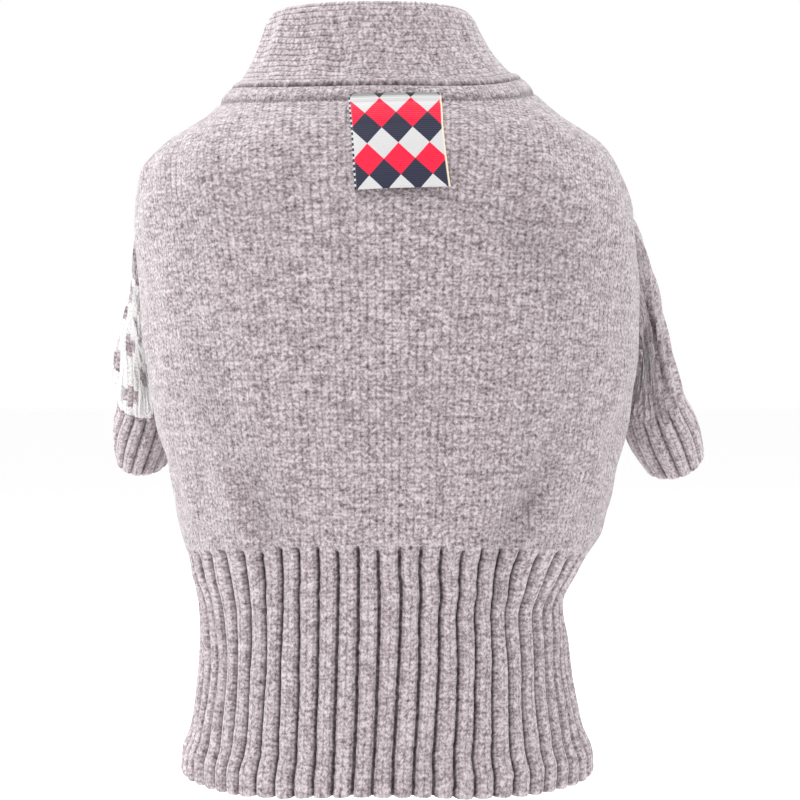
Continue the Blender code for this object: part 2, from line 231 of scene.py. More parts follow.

# Flanks of the waist: where they begin and how wide they come on, and there how much deeper the
# gutters are, how much wider and fuller their painted shade is, and how far below the jersey
FLANK_BEGINS, FLANK_OVER = 25, 40
FLANK_DEEPER, FLANK_TIGHT, FLANK_CLOSED, FLANK_REACH = 0.3, 0.6, 0.14, 24

# The hem's rise at the back's middle, and how sharply that falls off round the body
HEM_RISE, HEM_RISE_FALL = 2.8, 8

# How the ribs of the back run: the share that those at its middle are drawn together, their
# turn, and how far those on its flanks are spread outwards
RIB_PATH_COLUMNS = ("z", "drawn", "turn", "spread")
RIB_PATHS = (
    (-130, 0.09, 0.5, 3.6),
    (-137, 0.09, 0.5, 4),
    (-141, 0.07, 0.6, 4.4),
    (-148, -0.01, 0.9, 5),
    (-157, -0.035, 0.8, 4.2),
    (-166, -0.035, 0.4, 2),
    (-177, 0, 0, -0.3),
    (-188, 0.04, -0.5, -1.2),
    (-196, 0.085, -0.9, -3.6),
    (-205, 0.11, -1.2, -5.5),
)
RIB_DRAWN_TO, RIB_FREE_FROM = 52.0, 40.0
SPREAD_FROM, SPREAD_TURN = 42.0, 20.0

# Collar: the smooth roll between the seam and the first rib, and the share of the ribs' depth
# that is left on the right side, where they are drawn smooth
COLLAR_ROLL, ROLL_RAISED = 3.9, 0.6
SIDE_DEPTH, SIDE_TURN = 0.12, 0.45

# How far up the collar and over what length its swells come on, their size, and how much
# slower they change over its height
CALM_TO, COLLAR_CALM, COLLAR_SWELL, COLLAR_SWELL_RATE = 2, 8, 1.2, 0.8

# The line between the roll and the first rib, and how much of it is left on the right side
ROLL_LINE_DIP, ROLL_LINE_REACH, ROLL_LINE_LEFT = 0.5, 0.35, 0.3

# The seam at the collar's front, and about how far it stands from the neck's middle
FRONT_SEAM_DIP, FRONT_SEAM_REACH, FRONT_SEAM_OUT = 0.5, 0.9, 38

# How far up the collar its wall has reached its full thickness
COLLAR_THICK_FROM = 3

# How far from the collar's seam its painted shade reaches, how dark the painted shade in the
# collar's gutters is, and how dark the painted line over its roll still is at the right side
SEAM_SHADE_REACH, COLLAR_SHADE, ROLL_LINE_LEAST = 0.95, 0.15, 0.35

# Neck band: how flat its crown is, and how dark and wide the painted shade along its lower edge is
BAND_CROWN = 0.6
BAND_EDGE_SHADE, BAND_EDGE_SHARE = 0.45, 0.15

# Sleeves: grid steps down them, the shares of their length at the armhole and at the cuff
# where the cloth lies smooth, how softly a crease starts and ends, how much they swell, and
# how far the shortest of the cuff's gutters reaches, as a share of GUTTER_REACH
SLEEVE_STEPS = 48
SMOOTH_ARMHOLE, SMOOTH_CUFF, CREASE_FADE = 0.12, 0.1, 0.2
SLEEVE_SWELL, SHORTEST_GUTTER = 1.3, 0.35

# Cuffs: grid steps down them, how much shallower the gutters are at the edge and how far up
# that reaches, and how far the ridges rise and over what length
CUFF_STEPS = 16
CUFF_EDGE_SHALLOWER, CUFF_EDGE_REACH = 0.4, 1.5
CUFF_RAISED, CUFF_RISE = 0.2, 4

# Neck tab: grid points along its sides, how far its free end stands out, and how deep its row
# of sewing and its side edges are drawn in
TAB_POINTS = 61
TAB_FREE_LIFT = 1.8
TAB_SEWN_DIP, TAB_SEWN_AT, TAB_SEWN_REACH = 0.35, 0.09, 0.55
TAB_EDGE_DIP, TAB_EDGE_REACH = 0.25, 0.5


def linear(hex_colour):
    """Linear red, green, blue and alpha of an sRGB hex value."""
    srgb = np.array([int(hex_colour[i : i + 2], 16) for i in (1, 3, 5)]) / 255
    rgb = np.where(srgb <= 0.04045, srgb / 12.92, ((srgb + 0.055) / 1.055) ** 2.4)
    return (*rgb.tolist(), 1.0)


# ---------------------------------------------------------------- settings


def length(name, description, millimetres, least=0.0):
    return bpy.props.FloatProperty(
        name=name, description=description, default=millimetres * MM, min=least * MM,
        precision=5, subtype="DISTANCE", unit="LENGTH",
    )


def colour(name, description, hex_colour):
    return bpy.props.FloatVectorProperty(
        name=name, description=description, default=linear(hex_colour), size=4, min=0.0,
        max=1.0, subtype="COLOR",
    )


def watts(name, description, power):
    return bpy.props.FloatProperty(
        name=name, description=description, default=power, min=0.0, subtype="POWER",
        unit="POWER",
    )


class SweaterYarn(bpy.types.PropertyGroup):
    wale: length("Wale", "Width of one column of stitches, as knitted", 2.25)
    course: length("Course", "Height of one row of stitches, as knitted", 1.45)
    relief: length("Stitch relief", "How far a stitch stands proud of the gap beside it", 0.36)
    dark: colour("Dark fibre", "Darkest fibres of the heathered yarn", "#50464A")
    grey: colour("Grey fibre", "Middle of the heathered yarn", "#92868B")
    light: colour("Light fibre", "Lightest fibres of the heathered yarn", "#C8BEC1")
    white: colour("Motif yarn", "White yarn of the knitted-in motif", "#E3E1E1")


class SweaterRibs(bpy.types.PropertyGroup):
    round_waist: bpy.props.IntProperty(
        name="Ribs round the waist", description="How many ridges go round the waist",
        default=61, min=8,
    )
    round_cuff: bpy.props.IntProperty(
        name="Ribs round a cuff", description="How many ridges go round one cuff",
        default=14, min=4,
    )
    waist_depth: length("Waist depth", "Depth of the gutters between the waist's ridges", 2.0)
    cuff_depth: length("Cuff depth", "Depth of the gutters between a cuff's ridges", 1.6)
    collar_pitch: length("Collar rib", "Height of one level rib of the collar", 2.05)
    collar_depth: length("Collar depth", "Depth of the gutters between the collar's ribs", 0.18)


class SweaterTape(bpy.types.PropertyGroup):
    navy: colour("Navy", "Ground colour of the woven tape", "#202338")
    white: colour("White", "White of the diamonds", "#BFBEBF")
    red: colour("Red", "Red of the diamonds", "#DC0A36")
    selvedge: colour("Selvedge", "Cream yarn of the woven edge", "#D8C9B4")
    diamond_width: length("Diamond width", "Width of one diamond of the tape", 8.47)
    diamond_height: length("Diamond height", "Height of one diamond of the tape", 9.4)


class SweaterStage(bpy.types.PropertyGroup):
    floor: colour("Floor", "Colour of the plain floor", "#FDFDFD")
    floor_drop: length("Floor drop", "How far the floor lies below the hem", 60.0)
    distance: length("Camera distance", "From the camera to the middle of the body", 620.0)
    height: length("Camera height", "Height of the camera over the neck's seam", -92.0, -1000.0)
    aside: length("Camera shift", "How far the camera stands to the right", 4.34, -1000.0)
    lens: bpy.props.FloatProperty(
        name="Lens", description="Focal length of the camera, in mm", default=90.0, min=10.0,
        unit="CAMERA",
    )
    sky: bpy.props.FloatProperty(
        name="Surround", description="Strength of the white surround", default=1.0, min=0.0,
    )
    key: watts("Key", "Power of the soft light above and to the left", 5.8)
    fill: watts("Fill", "Power of the soft light behind the camera", 2.1)
    left_rim: watts("Left rim", "Power of the soft light behind and to the left", 17.0)
    right_rim: watts("Right rim", "Power of the soft light behind and to the right", 7.0)
    crown: watts("Crown", "Power of the soft light above and behind", 4.5)


class SweaterSettings(bpy.types.PropertyGroup):
    yarn: bpy.props.PointerProperty(type=SweaterYarn, name="Yarn", description="The yarn")
    ribs: bpy.props.PointerProperty(type=SweaterRibs, name="Ribs", description="The ribs")
    tape: bpy.props.PointerProperty(type=SweaterTape, name="Tape", description="The neck tab")
    stage: bpy.props.PointerProperty(type=SweaterStage, name="Stage", description="The stage")


# ---------------------------------------------------------------- shapes


def eased(at, known_at, known):
    """Smooth curve through known values that never swings past them (monotone cubic).

    Each span is a cubic whose end slopes are the harmonic means of the rises beside them.
    """
    order = np.argsort(known_at)
    x, y = known_at[order], known[order]
    step, rise = np.diff(x), np.diff(y) / np.diff(x)
    slope = np.concatenate([rise[:1], np.zeros(len(x) - 2), rise[-1:]])
    same_way = rise[:-1] * rise[1:] > 0
    before, after = 2 * step[1:] + step[:-1], step[1:] + 2 * step[:-1]
    with np.errstate(divide="ignore", invalid="ignore"):
        mean = (before + after) / (before / rise[:-1] + after / rise[1:])
    slope[1:-1] = np.where(same_way, mean, 0.0)
    i = np.clip(np.searchsorted(x, at) - 1, 0, len(step) - 1)
    t = (at - x[i]) / step[i]
    return (
        y[i] * (1 + 2 * t) * (1 - t) ** 2
        + y[i + 1] * t * t * (3 - 2 * t)
        + step[i] * (slope[i] * t * (1 - t) ** 2 + slope[i + 1] * t * t * (t - 1))
    )


def read_off(rows, columns, at, name):
    """A table's named column, eased between the places that its first column gives."""
    known = np.array(rows, float)
    return eased(at, known[:, 0], known[:, columns.index(name)])


def section(z, name):
    """The body's half width or half depth on the named side at height z."""
    return read_off(SECTIONS, SECTION_COLUMNS, z, name)


def on_sides(x, y, values):
    """The value across and the value along on the sides of the body that x and y look to."""
    across = np.where(x > 0, values["right"], values["left"])
    return across, np.where(y > 0, values["front"], values["back"])


def round_ring(angle, values):
    """A value given at the four sides, blended round by squared cosine and squared sine."""
    x, y = np.cos(angle), np.sin(angle)
    across, along = on_sides(x, y, values)
    return across * x**2 + along * y**2


def at_middle(angle):
    """1 at the middle of the back and front, half at the sides: 1 less half the squared cosine."""
    return 1 - 0.5 * np.cos(angle) ** 2


def neck_seam(angle):
    """Height of the collar's seam: its value at the back or front, and at the side by cos cubed."""
    side, middle = on_sides(np.cos(angle), np.sin(angle), NECK_SEAM_Z)
    return middle + (side - middle) * np.abs(np.cos(angle)) ** 3


def fold_depth(angle, z, rows=FOLDS):
    """Sum of leaning bell-shaped troughs: depth times exp of minus the squared distance."""
    depth = np.zeros(np.broadcast(angle, z).shape)
    for row in rows:
        fold = dict(zip(FOLD_COLUMNS, row))
        turn = np.degrees(angle) - fold["angle"] - fold["lean"] * (z - fold["z"])
        turn = (turn + 180) % 360 - 180
        near = (turn / fold["half_turn"]) ** 2 + ((z - fold["z"]) / fold["half_height"]) ** 2
        depth += fold["depth"] * np.exp(-near)
    return depth


def painted_fold_shade(angle, z):
    """Painted shade down in the cloth's folds: a set share darker for each mm of depth."""
    return PAINTED_FOLD_SHADE * np.maximum(fold_depth(angle, z) + fold_depth(angle, z, CREASES), 0)


def swell(angle, z):
    """Slow uneven swells of the cloth: a sum of seeded sine waves round and over the body."""
    draw = np.random.default_rng(SWELL_SEED)
    height = np.zeros(np.broadcast(angle, z).shape)
    for _ in range(SWELL_COUNT):
        turns = draw.integers(*SWELL_ROUND)
        rise = draw.uniform(-1, 1) / SWELL_UP * 2 * math.pi
        height += SWELL_SIZE * np.sin(turns * angle + rise * z + draw.uniform(0, 2 * math.pi))
    return height


def half_sizes(x, y, z):
    """The body's half width and half depth at height z, on the sides that x and y look to."""
    return on_sides(x, y, {name: section(z, name) for name in SECTION_COLUMNS[1:]})


def body_point(angle, z, out=0.0):
    """Body surface: (side cos angle, depth sin angle, z), moved level by out, less the folds."""
    angle, z = np.broadcast_arrays(np.asarray(angle, float), np.asarray(z, float))
    x, y = np.cos(angle), np.sin(angle)
    side, depth = half_sizes(x, y, z)
    higher_side, higher_depth = half_sizes(x, y, z + 1.0)
    lower_side, lower_depth = half_sizes(x, y, z - 1.0)
    slope = ((higher_side - lower_side) * x**2 + (higher_depth - lower_depth) * y**2) / 2
    move = out * np.hypot(1, slope) - fold_depth(angle, z)
    return np.stack([(side + move) * x, (depth + move) * y, z], -1)


def clear_of_body(points, gap):
    """Moves any point that is nearer than gap to the body straight out to that gap."""
    x, y, z = np.moveaxis(points, -1, 0)
    side, depth = half_sizes(x, y, z)
    grow = np.maximum(1, (1 + gap / np.hypot(x, y)) / np.hypot(x / side, y / depth))
    return points * np.stack([grow, grow, np.ones_like(grow)], -1)


def unit(vector):
    return vector / np.linalg.norm(vector, axis=-1, keepdims=True)


def closed_ring(grid):
    """A grid with its first column once more at its end."""
    return np.concatenate([grid, grid[:, :1]], 1)


def normals(grid, ring, flip=False):
    """Outward unit normals of a grid: its downward step crossed with its onward step."""
    down = np.gradient(grid, axis=0)
    if ring:
        onward = np.roll(grid, -1, 1) - np.roll(grid, 1, 1)
    else:
        onward = np.gradient(grid, axis=1)
    return unit(np.cross(onward, down) if flip else np.cross(down, onward))


def bell(distance, reach):
    """1 at a line and 0 a little way from it: exp of minus the squared distance over reach."""
    return np.exp(-((distance / reach) ** 2))


def smooth_step(value):
    """0 below 0, 1 above 1 and 3t2 - 2t3 between."""
    t = np.clip(value, 0, 1)
    return t * t * (3 - 2 * t)


def ridge(phase, fullness=RIB_FULLNESS):
    """Cross-section of one rib, 0 in the gutters (whole phases) and 1 on the ridge.

    It is the upper half of a rounded oblong: the square root of 1 less |2p| to the fullness,
    where p runs from -0.5 to 0.5 across the rib, with a narrow flat floor in the gutter.
    """
    across = np.minimum(np.abs(2 * (phase - np.floor(phase)) - 1) * (1 + GUTTER_FLOOR), 1)
    return np.sqrt(np.maximum(1 - across**fullness, 0))


def shade_share(height):
    """How much painted shade a rib's side gets at a height of its ridge(): 1 in the gutter, 0 from
    SHADE_TO.
    """
    return smooth_step(1 - height / SHADE_TO)


def ridge_phases(first, last, samples):
    """Phases from first to last, drawn together at the whole ones, where the gutters are."""
    even = np.arange(math.floor(first) * samples, math.ceil(last) * samples + 1) / samples
    whole = np.floor(even)
    gathered = whole + 0.5 - 0.5 * np.cos(math.pi * (even - whole))
    inside = gathered[(gathered > first + 1e-6) & (gathered < last - 1e-6)]
    return np.concatenate([[first], inside, [last]])


def arc_length(grid, start_column=0):
    """Distance along each row of a grid, counted from one of its columns."""
    steps = np.linalg.norm(np.diff(grid, axis=1), axis=-1)
    run = np.concatenate([np.zeros((len(grid), 1)), np.cumsum(steps, 1)], 1)
    return run - run[:, start_column : start_column + 1]


def down_length(z):
    """Distance down the body's surface from the neck to height z: the sum of its slant steps."""
    heights = np.linspace(12, HEM_Z - 5, 600)
    mean = sum(section(heights, name) for name in SECTION_COLUMNS[1:]) / 4
    run = np.concatenate([[0], np.cumsum(np.hypot(np.diff(heights), np.diff(mean)))])
    return np.interp(-z, -heights, run)


# ---------------------------------------------------------------- meshes


def rim(first, last, away, fullness):
    """Half an ellipse of rows from one face's edge to the other's, swelling away from them."""
    turn = np.linspace(0, math.pi, RIM_POINTS + 2)[1:-1, None, None]
    middle, half = (first + last) / 2, (first - last) / 2
    size = np.linalg.norm(half, axis=-1, keepdims=True)
    return middle + half * np.cos(turn) + away * size * fullness * np.sin(turn)


def knitted_wall(name, outer, inner, uv, ring, flip=False, top=0.0, low=0.0, marks=()):
    """A closed wall of cloth between an outer and an inner grid of points, in mm.

    Its rows go down the outer face, round the lower edge, up the inner face and round the
    upper edge. top and low say how full those edges are, 0 for a flat one. uv holds the
    place of each outer point in the knitting, in mm. A ring has one more column of uv than
    of points, and closes on itself. The inner face is the second material. marks are named
    values at the outer points: gutter, how much painted shade a point gets from 0 to 1 between
    ridges, in folds and creases and along seams, and from_neck, its distance in mm below the
    linked row.
    """
    low_rim = rim(outer[-1], inner[-1], unit(outer[-1] - outer[-2]), low)
    top_rim = rim(inner[0], outer[0], unit(outer[0] - outer[1]), top)
    points = np.concatenate([outer, low_rim, inner[::-1], top_rim])
    rows, columns = points.shape[:2]
    on_face = len(outer)
    edge = np.linalg.norm(outer[-1] - inner[-1], axis=-1).mean()
    past = np.linspace(0, edge, RIM_POINTS + 2)[1:-1, None]
    past = np.stack([0 * past, past], -1)
    places = np.concatenate([uv, uv[-1] + past, uv[::-1], uv[0] - past[::-1], uv[:1]])

    row, col = np.meshgrid(np.arange(rows), np.arange(columns - (not ring)), indexing="ij")
    corners = [(row, col), (row + 1, col), (row + 1, col + 1), (row, col + 1)]
    quads = np.stack([r % rows * columns + c % columns for r, c in corners], -1).reshape(-1, 4)
    quad_uv = np.stack([places[r, c] for r, c in corners], -2).reshape(-1, 4, 2)
    inside = ((row >= on_face + RIM_POINTS - 1) & (row < 2 * on_face + RIM_POINTS)).ravel()
    if not ring:
        half = RIM_POINTS // 2
        front = np.concatenate([np.arange(rows - half, rows), np.arange(on_face + half)])
        rear = np.arange(rows - half - 1, on_face + half - 1, -1)
        for at in (0, columns - 1):
            a, b = front * columns + at, rear * columns + at
            cap = np.stack([a[:-1], b[:-1], b[1:], a[1:]], -1)
            cap = cap if at == 0 else cap[:, ::-1]
            quads = np.concatenate([quads, cap])
            quad_uv = np.concatenate([quad_uv, places[cap // columns, at]])
            inside = np.concatenate([inside, np.zeros(len(cap), bool)])
    if flip:
        quads, quad_uv = quads[:, ::-1], quad_uv[:, ::-1]

    mesh = bpy.data.meshes.new(name)
    mesh.from_pydata((points.reshape(-1, 3) * MM).tolist(), [], quads.tolist())
    layer = mesh.uv_layers.new(name="knit")
    layer.uv.foreach_set("vector", quad_uv.astype(np.float32).ravel())
    for mark_name, values in dict(marks).items():
        spread = np.zeros(points.shape[:2])
        spread[:on_face] = values
        spread[on_face : on_face + RIM_POINTS] = values[-1]
        mark = mesh.attributes.new(mark_name, "FLOAT", "POINT")
        mark.data.foreach_set("value", spread.astype(np.float32).ravel())
    mesh.polygons.foreach_set("material_index", inside.astype(np.int32))
    mesh.shade_smooth()
    mesh.set_sharp_from_angle(angle=math.radians(SHARP_ANGLE))
    obj = bpy.data.objects.new(name, mesh)
    bpy.context.scene.collection.objects.link(obj)
    return obj


def panel_rows():
    """Row heights of a body panel at its side edges, level with the armhole's edge."""
    top = NECK_SEAM_Z["right"] - BAND_WIDTH
    low = RIB_TOP_Z["right"]
    armhole_rows = round(2 * ARMHOLE_HALF_HEIGHT / JERSEY_STEP)
    turn = np.linspace(0, math.pi, armhole_rows + 1)
    armhole = ARMHOLE_Z + ARMHOLE_HALF_HEIGHT * np.cos(turn)
    above_rows = round((down_length(armhole[0]) - down_length(top)) / JERSEY_STEP)
    below_rows = round((armhole[-1] - low) / JERSEY_STEP)
    above = np.linspace(top, armhole[0], above_rows + 1)[:-1]
    below = np.linspace(armhole[-1], low, below_rows + 1)[1:]
    return np.concatenate([above, armhole, below]), above_rows, below_rows


def body_panel(name, seams, yarn):
    """A jersey panel between two side seams, scooped in a half ellipse at both armholes.

    The neckline and the waistline bend the rows above and below the armholes. The cloth is
    the body's surface, swelled unevenly and drawn in at its seams.
    """
    heights, above, below = panel_rows()
    share = np.clip((heights - ARMHOLE_Z) / ARMHOLE_HALF_HEIGHT, -1, 1)
    scoop = math.radians(ARMHOLE_HALF_TURN) * np.sqrt(1 - share**2)
    start, end = math.radians(seams[0]) + scoop, math.radians(seams[1]) - scoop
    widest = max(row[SECTION_COLUMNS.index("right")] for row in SECTIONS)
    columns = round(math.radians(seams[1] - seams[0]) * widest / JERSEY_STEP)
    across = np.linspace(0, 1, columns // 2 * 2 + 1)
    angle = start[:, None] + (end - start)[:, None] * across
    hole_top, hole_low = heights[above], heights[-1 - below]
    neck = neck_seam(angle) - BAND_WIDTH
    waist = round_ring(angle, RIB_TOP_Z)
    near_neck = np.clip((heights - hole_top) / (heights[0] - hole_top), 0, 1)[:, None]
    near_waist = np.clip((hole_low - heights) / (hole_low - heights[-1]), 0, 1)[:, None]
    z = heights[:, None] + near_neck * (neck - heights[0]) + near_waist * (waist - heights[-1])

    base = body_point(angle, z)
    run = arc_length(base, len(across) // 2)
    to_side = np.minimum(run - run[:, :1], run[:, -1:] - run)
    to_neck = down_length(z) - down_length(neck)
    free = smooth_step(to_side / SMOOTH_SIDE)
    quiet = smooth_step(to_neck / SMOOTH_NECK) * smooth_step((z - waist) / SMOOTH_WAIST) * free
    out = swell(angle, z) * quiet
    out -= fold_depth(angle, z, CREASES) * free
    out -= SEAM_DIP * bell(to_side, SEAM_REACH)
    out -= LINK_DIP * bell(to_neck, LINK_REACH)
    outwards = normals(base, False)
    outer = base + out[..., None] * outwards
    inner = base + (out - JERSEY_WALL)[..., None] * outwards
    drawn = read_off(WALE_WIDTHS, WALE_COLUMNS, z, "width")
    uv = np.stack([run / drawn * yarn.wale / MM, down_length(z)], -1)
    # The gutter mark here is painted shade in the folds and creases
    marks = {"from_neck": to_neck, "gutter": painted_fold_shade(angle, z) * free}
    return knitted_wall(name, outer, inner, uv, ring=False, marks=marks)


def rib_path(angle, z):
    """Angles of the ribs on the back, drawn together at its middle and spread at the flanks.

    The shift is the turn t from the middle, times 1 less the square of t over RIB_DRAWN_TO,
    times the share that the ribs are drawn in at that height. Past SPREAD_FROM the spread is
    added for each SPREAD_TURN. There is no shift at the side seams.
    """
    share, turned, spread = (
        read_off(RIB_PATHS, RIB_PATH_COLUMNS, z, name) for name in RIB_PATH_COLUMNS[1:]
    )
    away = np.degrees(angle) + 90
    on_flank = np.maximum(np.abs(away) - SPREAD_FROM, 0) / SPREAD_TURN
    free = smooth_step((90 + SIDE_SEAM_ANGLE - np.abs(away)) / RIB_FREE_FROM)
    shift = turned - share * away * (1 - (away / RIB_DRAWN_TO) ** 2)
    shift = shift + spread * on_flank * np.sign(away)
    return angle + np.radians(shift * free)


def rib_panel(name, seams, ribs, yarn):
    """The ribbed waist below a jersey panel, down to a hem that rises at the back's middle.

    Ridges of ridge() stand on the body's surface. Their gutters open just below the jersey,
    and they swell further down. Each gutter wanders a little to its sides.
    """
    pitch = 360 / ribs.round_waist
    first, last = ((seam - VALLEY_ANGLE) / pitch for seam in seams)
    phases = ridge_phases(first, last, RIB_SAMPLES)
    count = round((RIB_TOP_Z["back"] - HEM_Z) / RIB_STEP)
    share = np.linspace(0, 1, count + 1)[:, None]
    straight = np.radians(VALLEY_ANGLE + phases * pitch)[None, :]
    z = RIB_TOP_Z["back"] + (HEM_Z - RIB_TOP_Z["back"]) * share

    draw = np.random.default_rng(round(abs(seams[0])))
    whole = np.arange(math.floor(phases[0]) - 1, math.ceil(phases[-1]) + 2)
    shift = np.interp(phases, whole, draw.uniform(-1, 1, len(whole)))
    bend = np.interp(phases, whole, draw.uniform(0, 2 * math.pi, len(whole)))
    tremble = draw.normal(0, 1, (count + 1, len(whole)))
    tremble = np.stack([np.interp(phases, whole, row) for row in tremble])
    held = smooth_step(np.minimum(phases - phases[0], phases[-1] - phases) / RIB_HELD)
    wander = RIB_WANDER * (shift + np.sin(z / RIB_WAVE + bend)) + RIB_TREMBLE * tremble
    angle = rib_path(straight, z) if seams[0] < 0 else straight
    angle = angle + held * wander / section(z, "back")
    top = round_ring(angle, RIB_TOP_Z)
    hem = HEM_Z + HEM_RISE * np.maximum(-np.sin(angle), 0) ** HEM_RISE_FALL
    z = top + (hem - top) * share

    from_middle = np.abs(np.degrees(straight) - (seams[0] + seams[1]) / 2)
    flank = smooth_step((from_middle - FLANK_BEGINS) / FLANK_OVER)
    depth = ribs.waist_depth / MM * (1 + FLANK_DEEPER * flank)
    below = top - z
    late = RIB_UNEVEN * draw.uniform(0, 1, len(whole))[np.round(phases - whole[0]).astype(int)]
    opened = smooth_step((below - late) / RIB_START)
    full = smooth_step(below / RIB_SWELL)
    height = ridge(phases, RIB_FULLNESS - flank)
    cut = depth * (1 - height) * opened
    base = body_point(angle, z)
    run = arc_length(base, len(phases) // 2)
    to_side = np.minimum(run - run[:, :1], run[:, -1:] - run)
    free = smooth_step(to_side / SMOOTH_SIDE)
    out = RIB_RAISED * full - cut
    out = out + 0.5 * swell(angle, z) * full - SEAM_DIP * bell(to_side, SEAM_REACH)
    out = out - fold_depth(angle, z, CREASES) * free
    outwards = normals(base, False)
    outer = base + out[..., None] * outwards
    inner = base + (RIB_RAISED * full - RIB_WALL - RIB_INSIDE * cut)[..., None] * outwards
    over = (phases - 0.5 / RIB_WALES) * RIB_WALES * yarn.wale / MM
    uv = np.stack(np.broadcast_arrays(over, down_length(z)), -1)
    # The gutter mark: painted shade in the gutters, fuller on the flanks near the jersey, and in
    # the folds
    tight = 1 - FLANK_TIGHT * flank * bell(below, FLANK_REACH)
    shade = (1 + FLANK_CLOSED * flank) * shade_share(height) ** tight * opened
    marks = {"gutter": shade + painted_fold_shade(angle, z) * free}
    return knitted_wall(name, outer, inner, uv, ring=False, low=1.0, marks=marks)


def collar_wall(name, ribs):
    """The standing collar, whose ribs lie level round the neck.

    It closes in over the seam as COLLAR_PROFILE says. A smooth roll stands at its foot, and
    above it each rib is a ridge() of the distance up the collar.
    """
    pitch, depth = ribs.collar_pitch / MM, ribs.collar_depth / MM
    angle = math.radians(COLLAR_FRONT_SEAM) + np.linspace(0, 2 * math.pi, 201)
    low_z = neck_seam(angle)
    low = body_point(angle, low_z, BAND_RAISED)
    across, along = on_sides(np.cos(angle), np.sin(angle), COLLAR_TOP)

    def surface(height):
        closed = read_off(COLLAR_PROFILE, COLLAR_COLUMNS, height, "closed")[:, None]
        x = low[:, 0] + (across * np.cos(angle) - low[:, 0]) * closed
        y = low[:, 1] + (along * np.sin(angle) - low[:, 1]) * closed
        z = low_z + (round_ring(angle, COLLAR_TOP_Z) - low_z) * height[:, None]
        return np.stack([x, y, z], -1)

    coarse = np.linspace(0, 1, 200)
    steps = np.linalg.norm(np.diff(surface(coarse), axis=0), axis=-1).mean(1)
    climbed = np.concatenate([[0], np.cumsum(steps)])
    ribs_up = (climbed[-1] - COLLAR_ROLL) / pitch
    phases = ridge_phases(0, ribs_up, COLLAR_RIB_SAMPLES)
    climb = np.concatenate([COLLAR_ROLL * GATHERED[:-1], COLLAR_ROLL + phases * pitch])
    base = surface(np.interp(climb, climbed, coarse))[::-1, :-1]
    climb = climb[::-1]
    over_roll = climb - COLLAR_ROLL
    outwards = normals(base, True)
    turn = angle[:-1]

    clear = SIDE_DEPTH + (1 - SIDE_DEPTH) * smooth_step(-np.cos(turn) / SIDE_TURN)
    height = np.where(over_roll > 0, ridge(over_roll / pitch), 0)
    rolled = ROLL_RAISED * np.sin(math.pi * np.clip(climb / COLLAR_ROLL, 0, 1))
    out = depth * (height[:, None] - 1) * clear * (over_roll > 0)[:, None]
    out = out + (rolled - NECK_DIP * bell(climb, NECK_REACH))[:, None] * at_middle(turn)
    roll_line = bell(over_roll, ROLL_LINE_REACH)[:, None]
    out = out - ROLL_LINE_DIP * roll_line * (ROLL_LINE_LEFT + (1 - ROLL_LINE_LEFT) * clear)
    calm = smooth_step((climb - CALM_TO) / COLLAR_CALM)
    calm = calm * smooth_step((climb.max() - climb) / COLLAR_CALM)
    out = out + COLLAR_SWELL * swell(turn, base[..., 2] * COLLAR_SWELL_RATE) * calm[:, None]
    front = np.abs((np.degrees(turn) - COLLAR_FRONT_SEAM + 180) % 360 - 180)
    to_front = np.radians(front) * FRONT_SEAM_OUT
    out = out - FRONT_SEAM_DIP * bell(to_front, FRONT_SEAM_REACH)[None, :]
    outer = base + out[..., None] * outwards
    wall = np.interp(climb, [0, COLLAR_THICK_FROM], [BAND_WALL, COLLAR_WALL])[:, None, None]
    inner = base - (wall + COLLAR_INSIDE * depth * (height[:, None, None] - 1)) * outwards
    run = arc_length(closed_ring(base), 100)
    rib = np.clip(np.floor(over_roll / pitch - 1e-6), -1, math.floor(ribs_up))
    ridge_row = np.abs(climb[None, :] - (COLLAR_ROLL + (rib[:, None] + 0.5) * pitch)).argmin(1)
    uv = np.stack(np.broadcast_arrays(COLLAR_ROLL - climb[:, None], run[ridge_row]), -1)
    # Painted shade in the collar's gutters, along its seam and along the line over its roll
    between = ((over_roll > 0) * shade_share(height))[:, None] * clear
    line = ROLL_LINE_LEAST + (1 - ROLL_LINE_LEAST) * smooth_step(0.55 - np.cos(turn))
    seam = bell(climb, SEAM_SHADE_REACH)[:, None] + line * roll_line
    marks = {"gutter": np.clip(COLLAR_SHADE * between + seam, 0, 1)}
    return knitted_wall(name, outer, inner, uv, ring=True, top=1.0, marks=marks)


def neck_band(name):
    """The narrow strip between the collar's seam and the row of linking stitches.

    It lies on the body, crowned by half a sine wave between its two edges.
    """
    angle = math.radians(COLLAR_FRONT_SEAM) + np.linspace(0, 2 * math.pi, 241)
    z = neck_seam(angle)[None, :] - BAND_WIDTH * GATHERED[:, None]
    base = body_point(angle, z)[:, :-1]
    down = down_length(z) - down_length(z[:1])
    share = (down / down[-1:])[:, :-1]
    out = BAND_RAISED * np.sin(math.pi * np.clip(share, 0, 1)) ** BAND_CROWN
    out = out - NECK_DIP * bell(down[:, :-1], NECK_REACH) * at_middle(angle[:-1])
    out = out - LINK_DIP * bell(1 - share, LINK_REACH / BAND_WIDTH)
    outwards = normals(base, True)
    outer = base + out[..., None] * outwards
    inner = base + (BAND_RAISED - BAND_WALL) * outwards
    run = arc_length(closed_ring(base), 120)[-1]
    uv = np.stack(np.broadcast_arrays(run, down), -1)
    # Painted shade along the collar's seam and along the band's lower edge
    edge = BAND_EDGE_SHADE * bell(1 - share, BAND_EDGE_SHARE)
    marks = {"gutter": bell(down[:, :-1], SEAM_SHADE_REACH) + edge}
    return knitted_wall(name, outer, inner, uv, ring=True, marks=marks)


def cuff_frame(sleeve):
    """Middle of the cuff's end, its direction, and its outward and forward directions."""
    end = np.array([sleeve["cuff_x"], sleeve["cuff_y"], sleeve["cuff_z"]])
    out = math.tan(math.radians(sleeve["lean_out"])) * sleeve["side"]
    forward = math.tan(math.radians(sleeve["lean_forward"]))
    along = unit(np.array([out, forward, -1.0]))
    front = unit(np.array([0, 1.0, 0]) - along[1] * along)
    side = np.cross(along, front) * sleeve["side"]
    return end, along, side, front


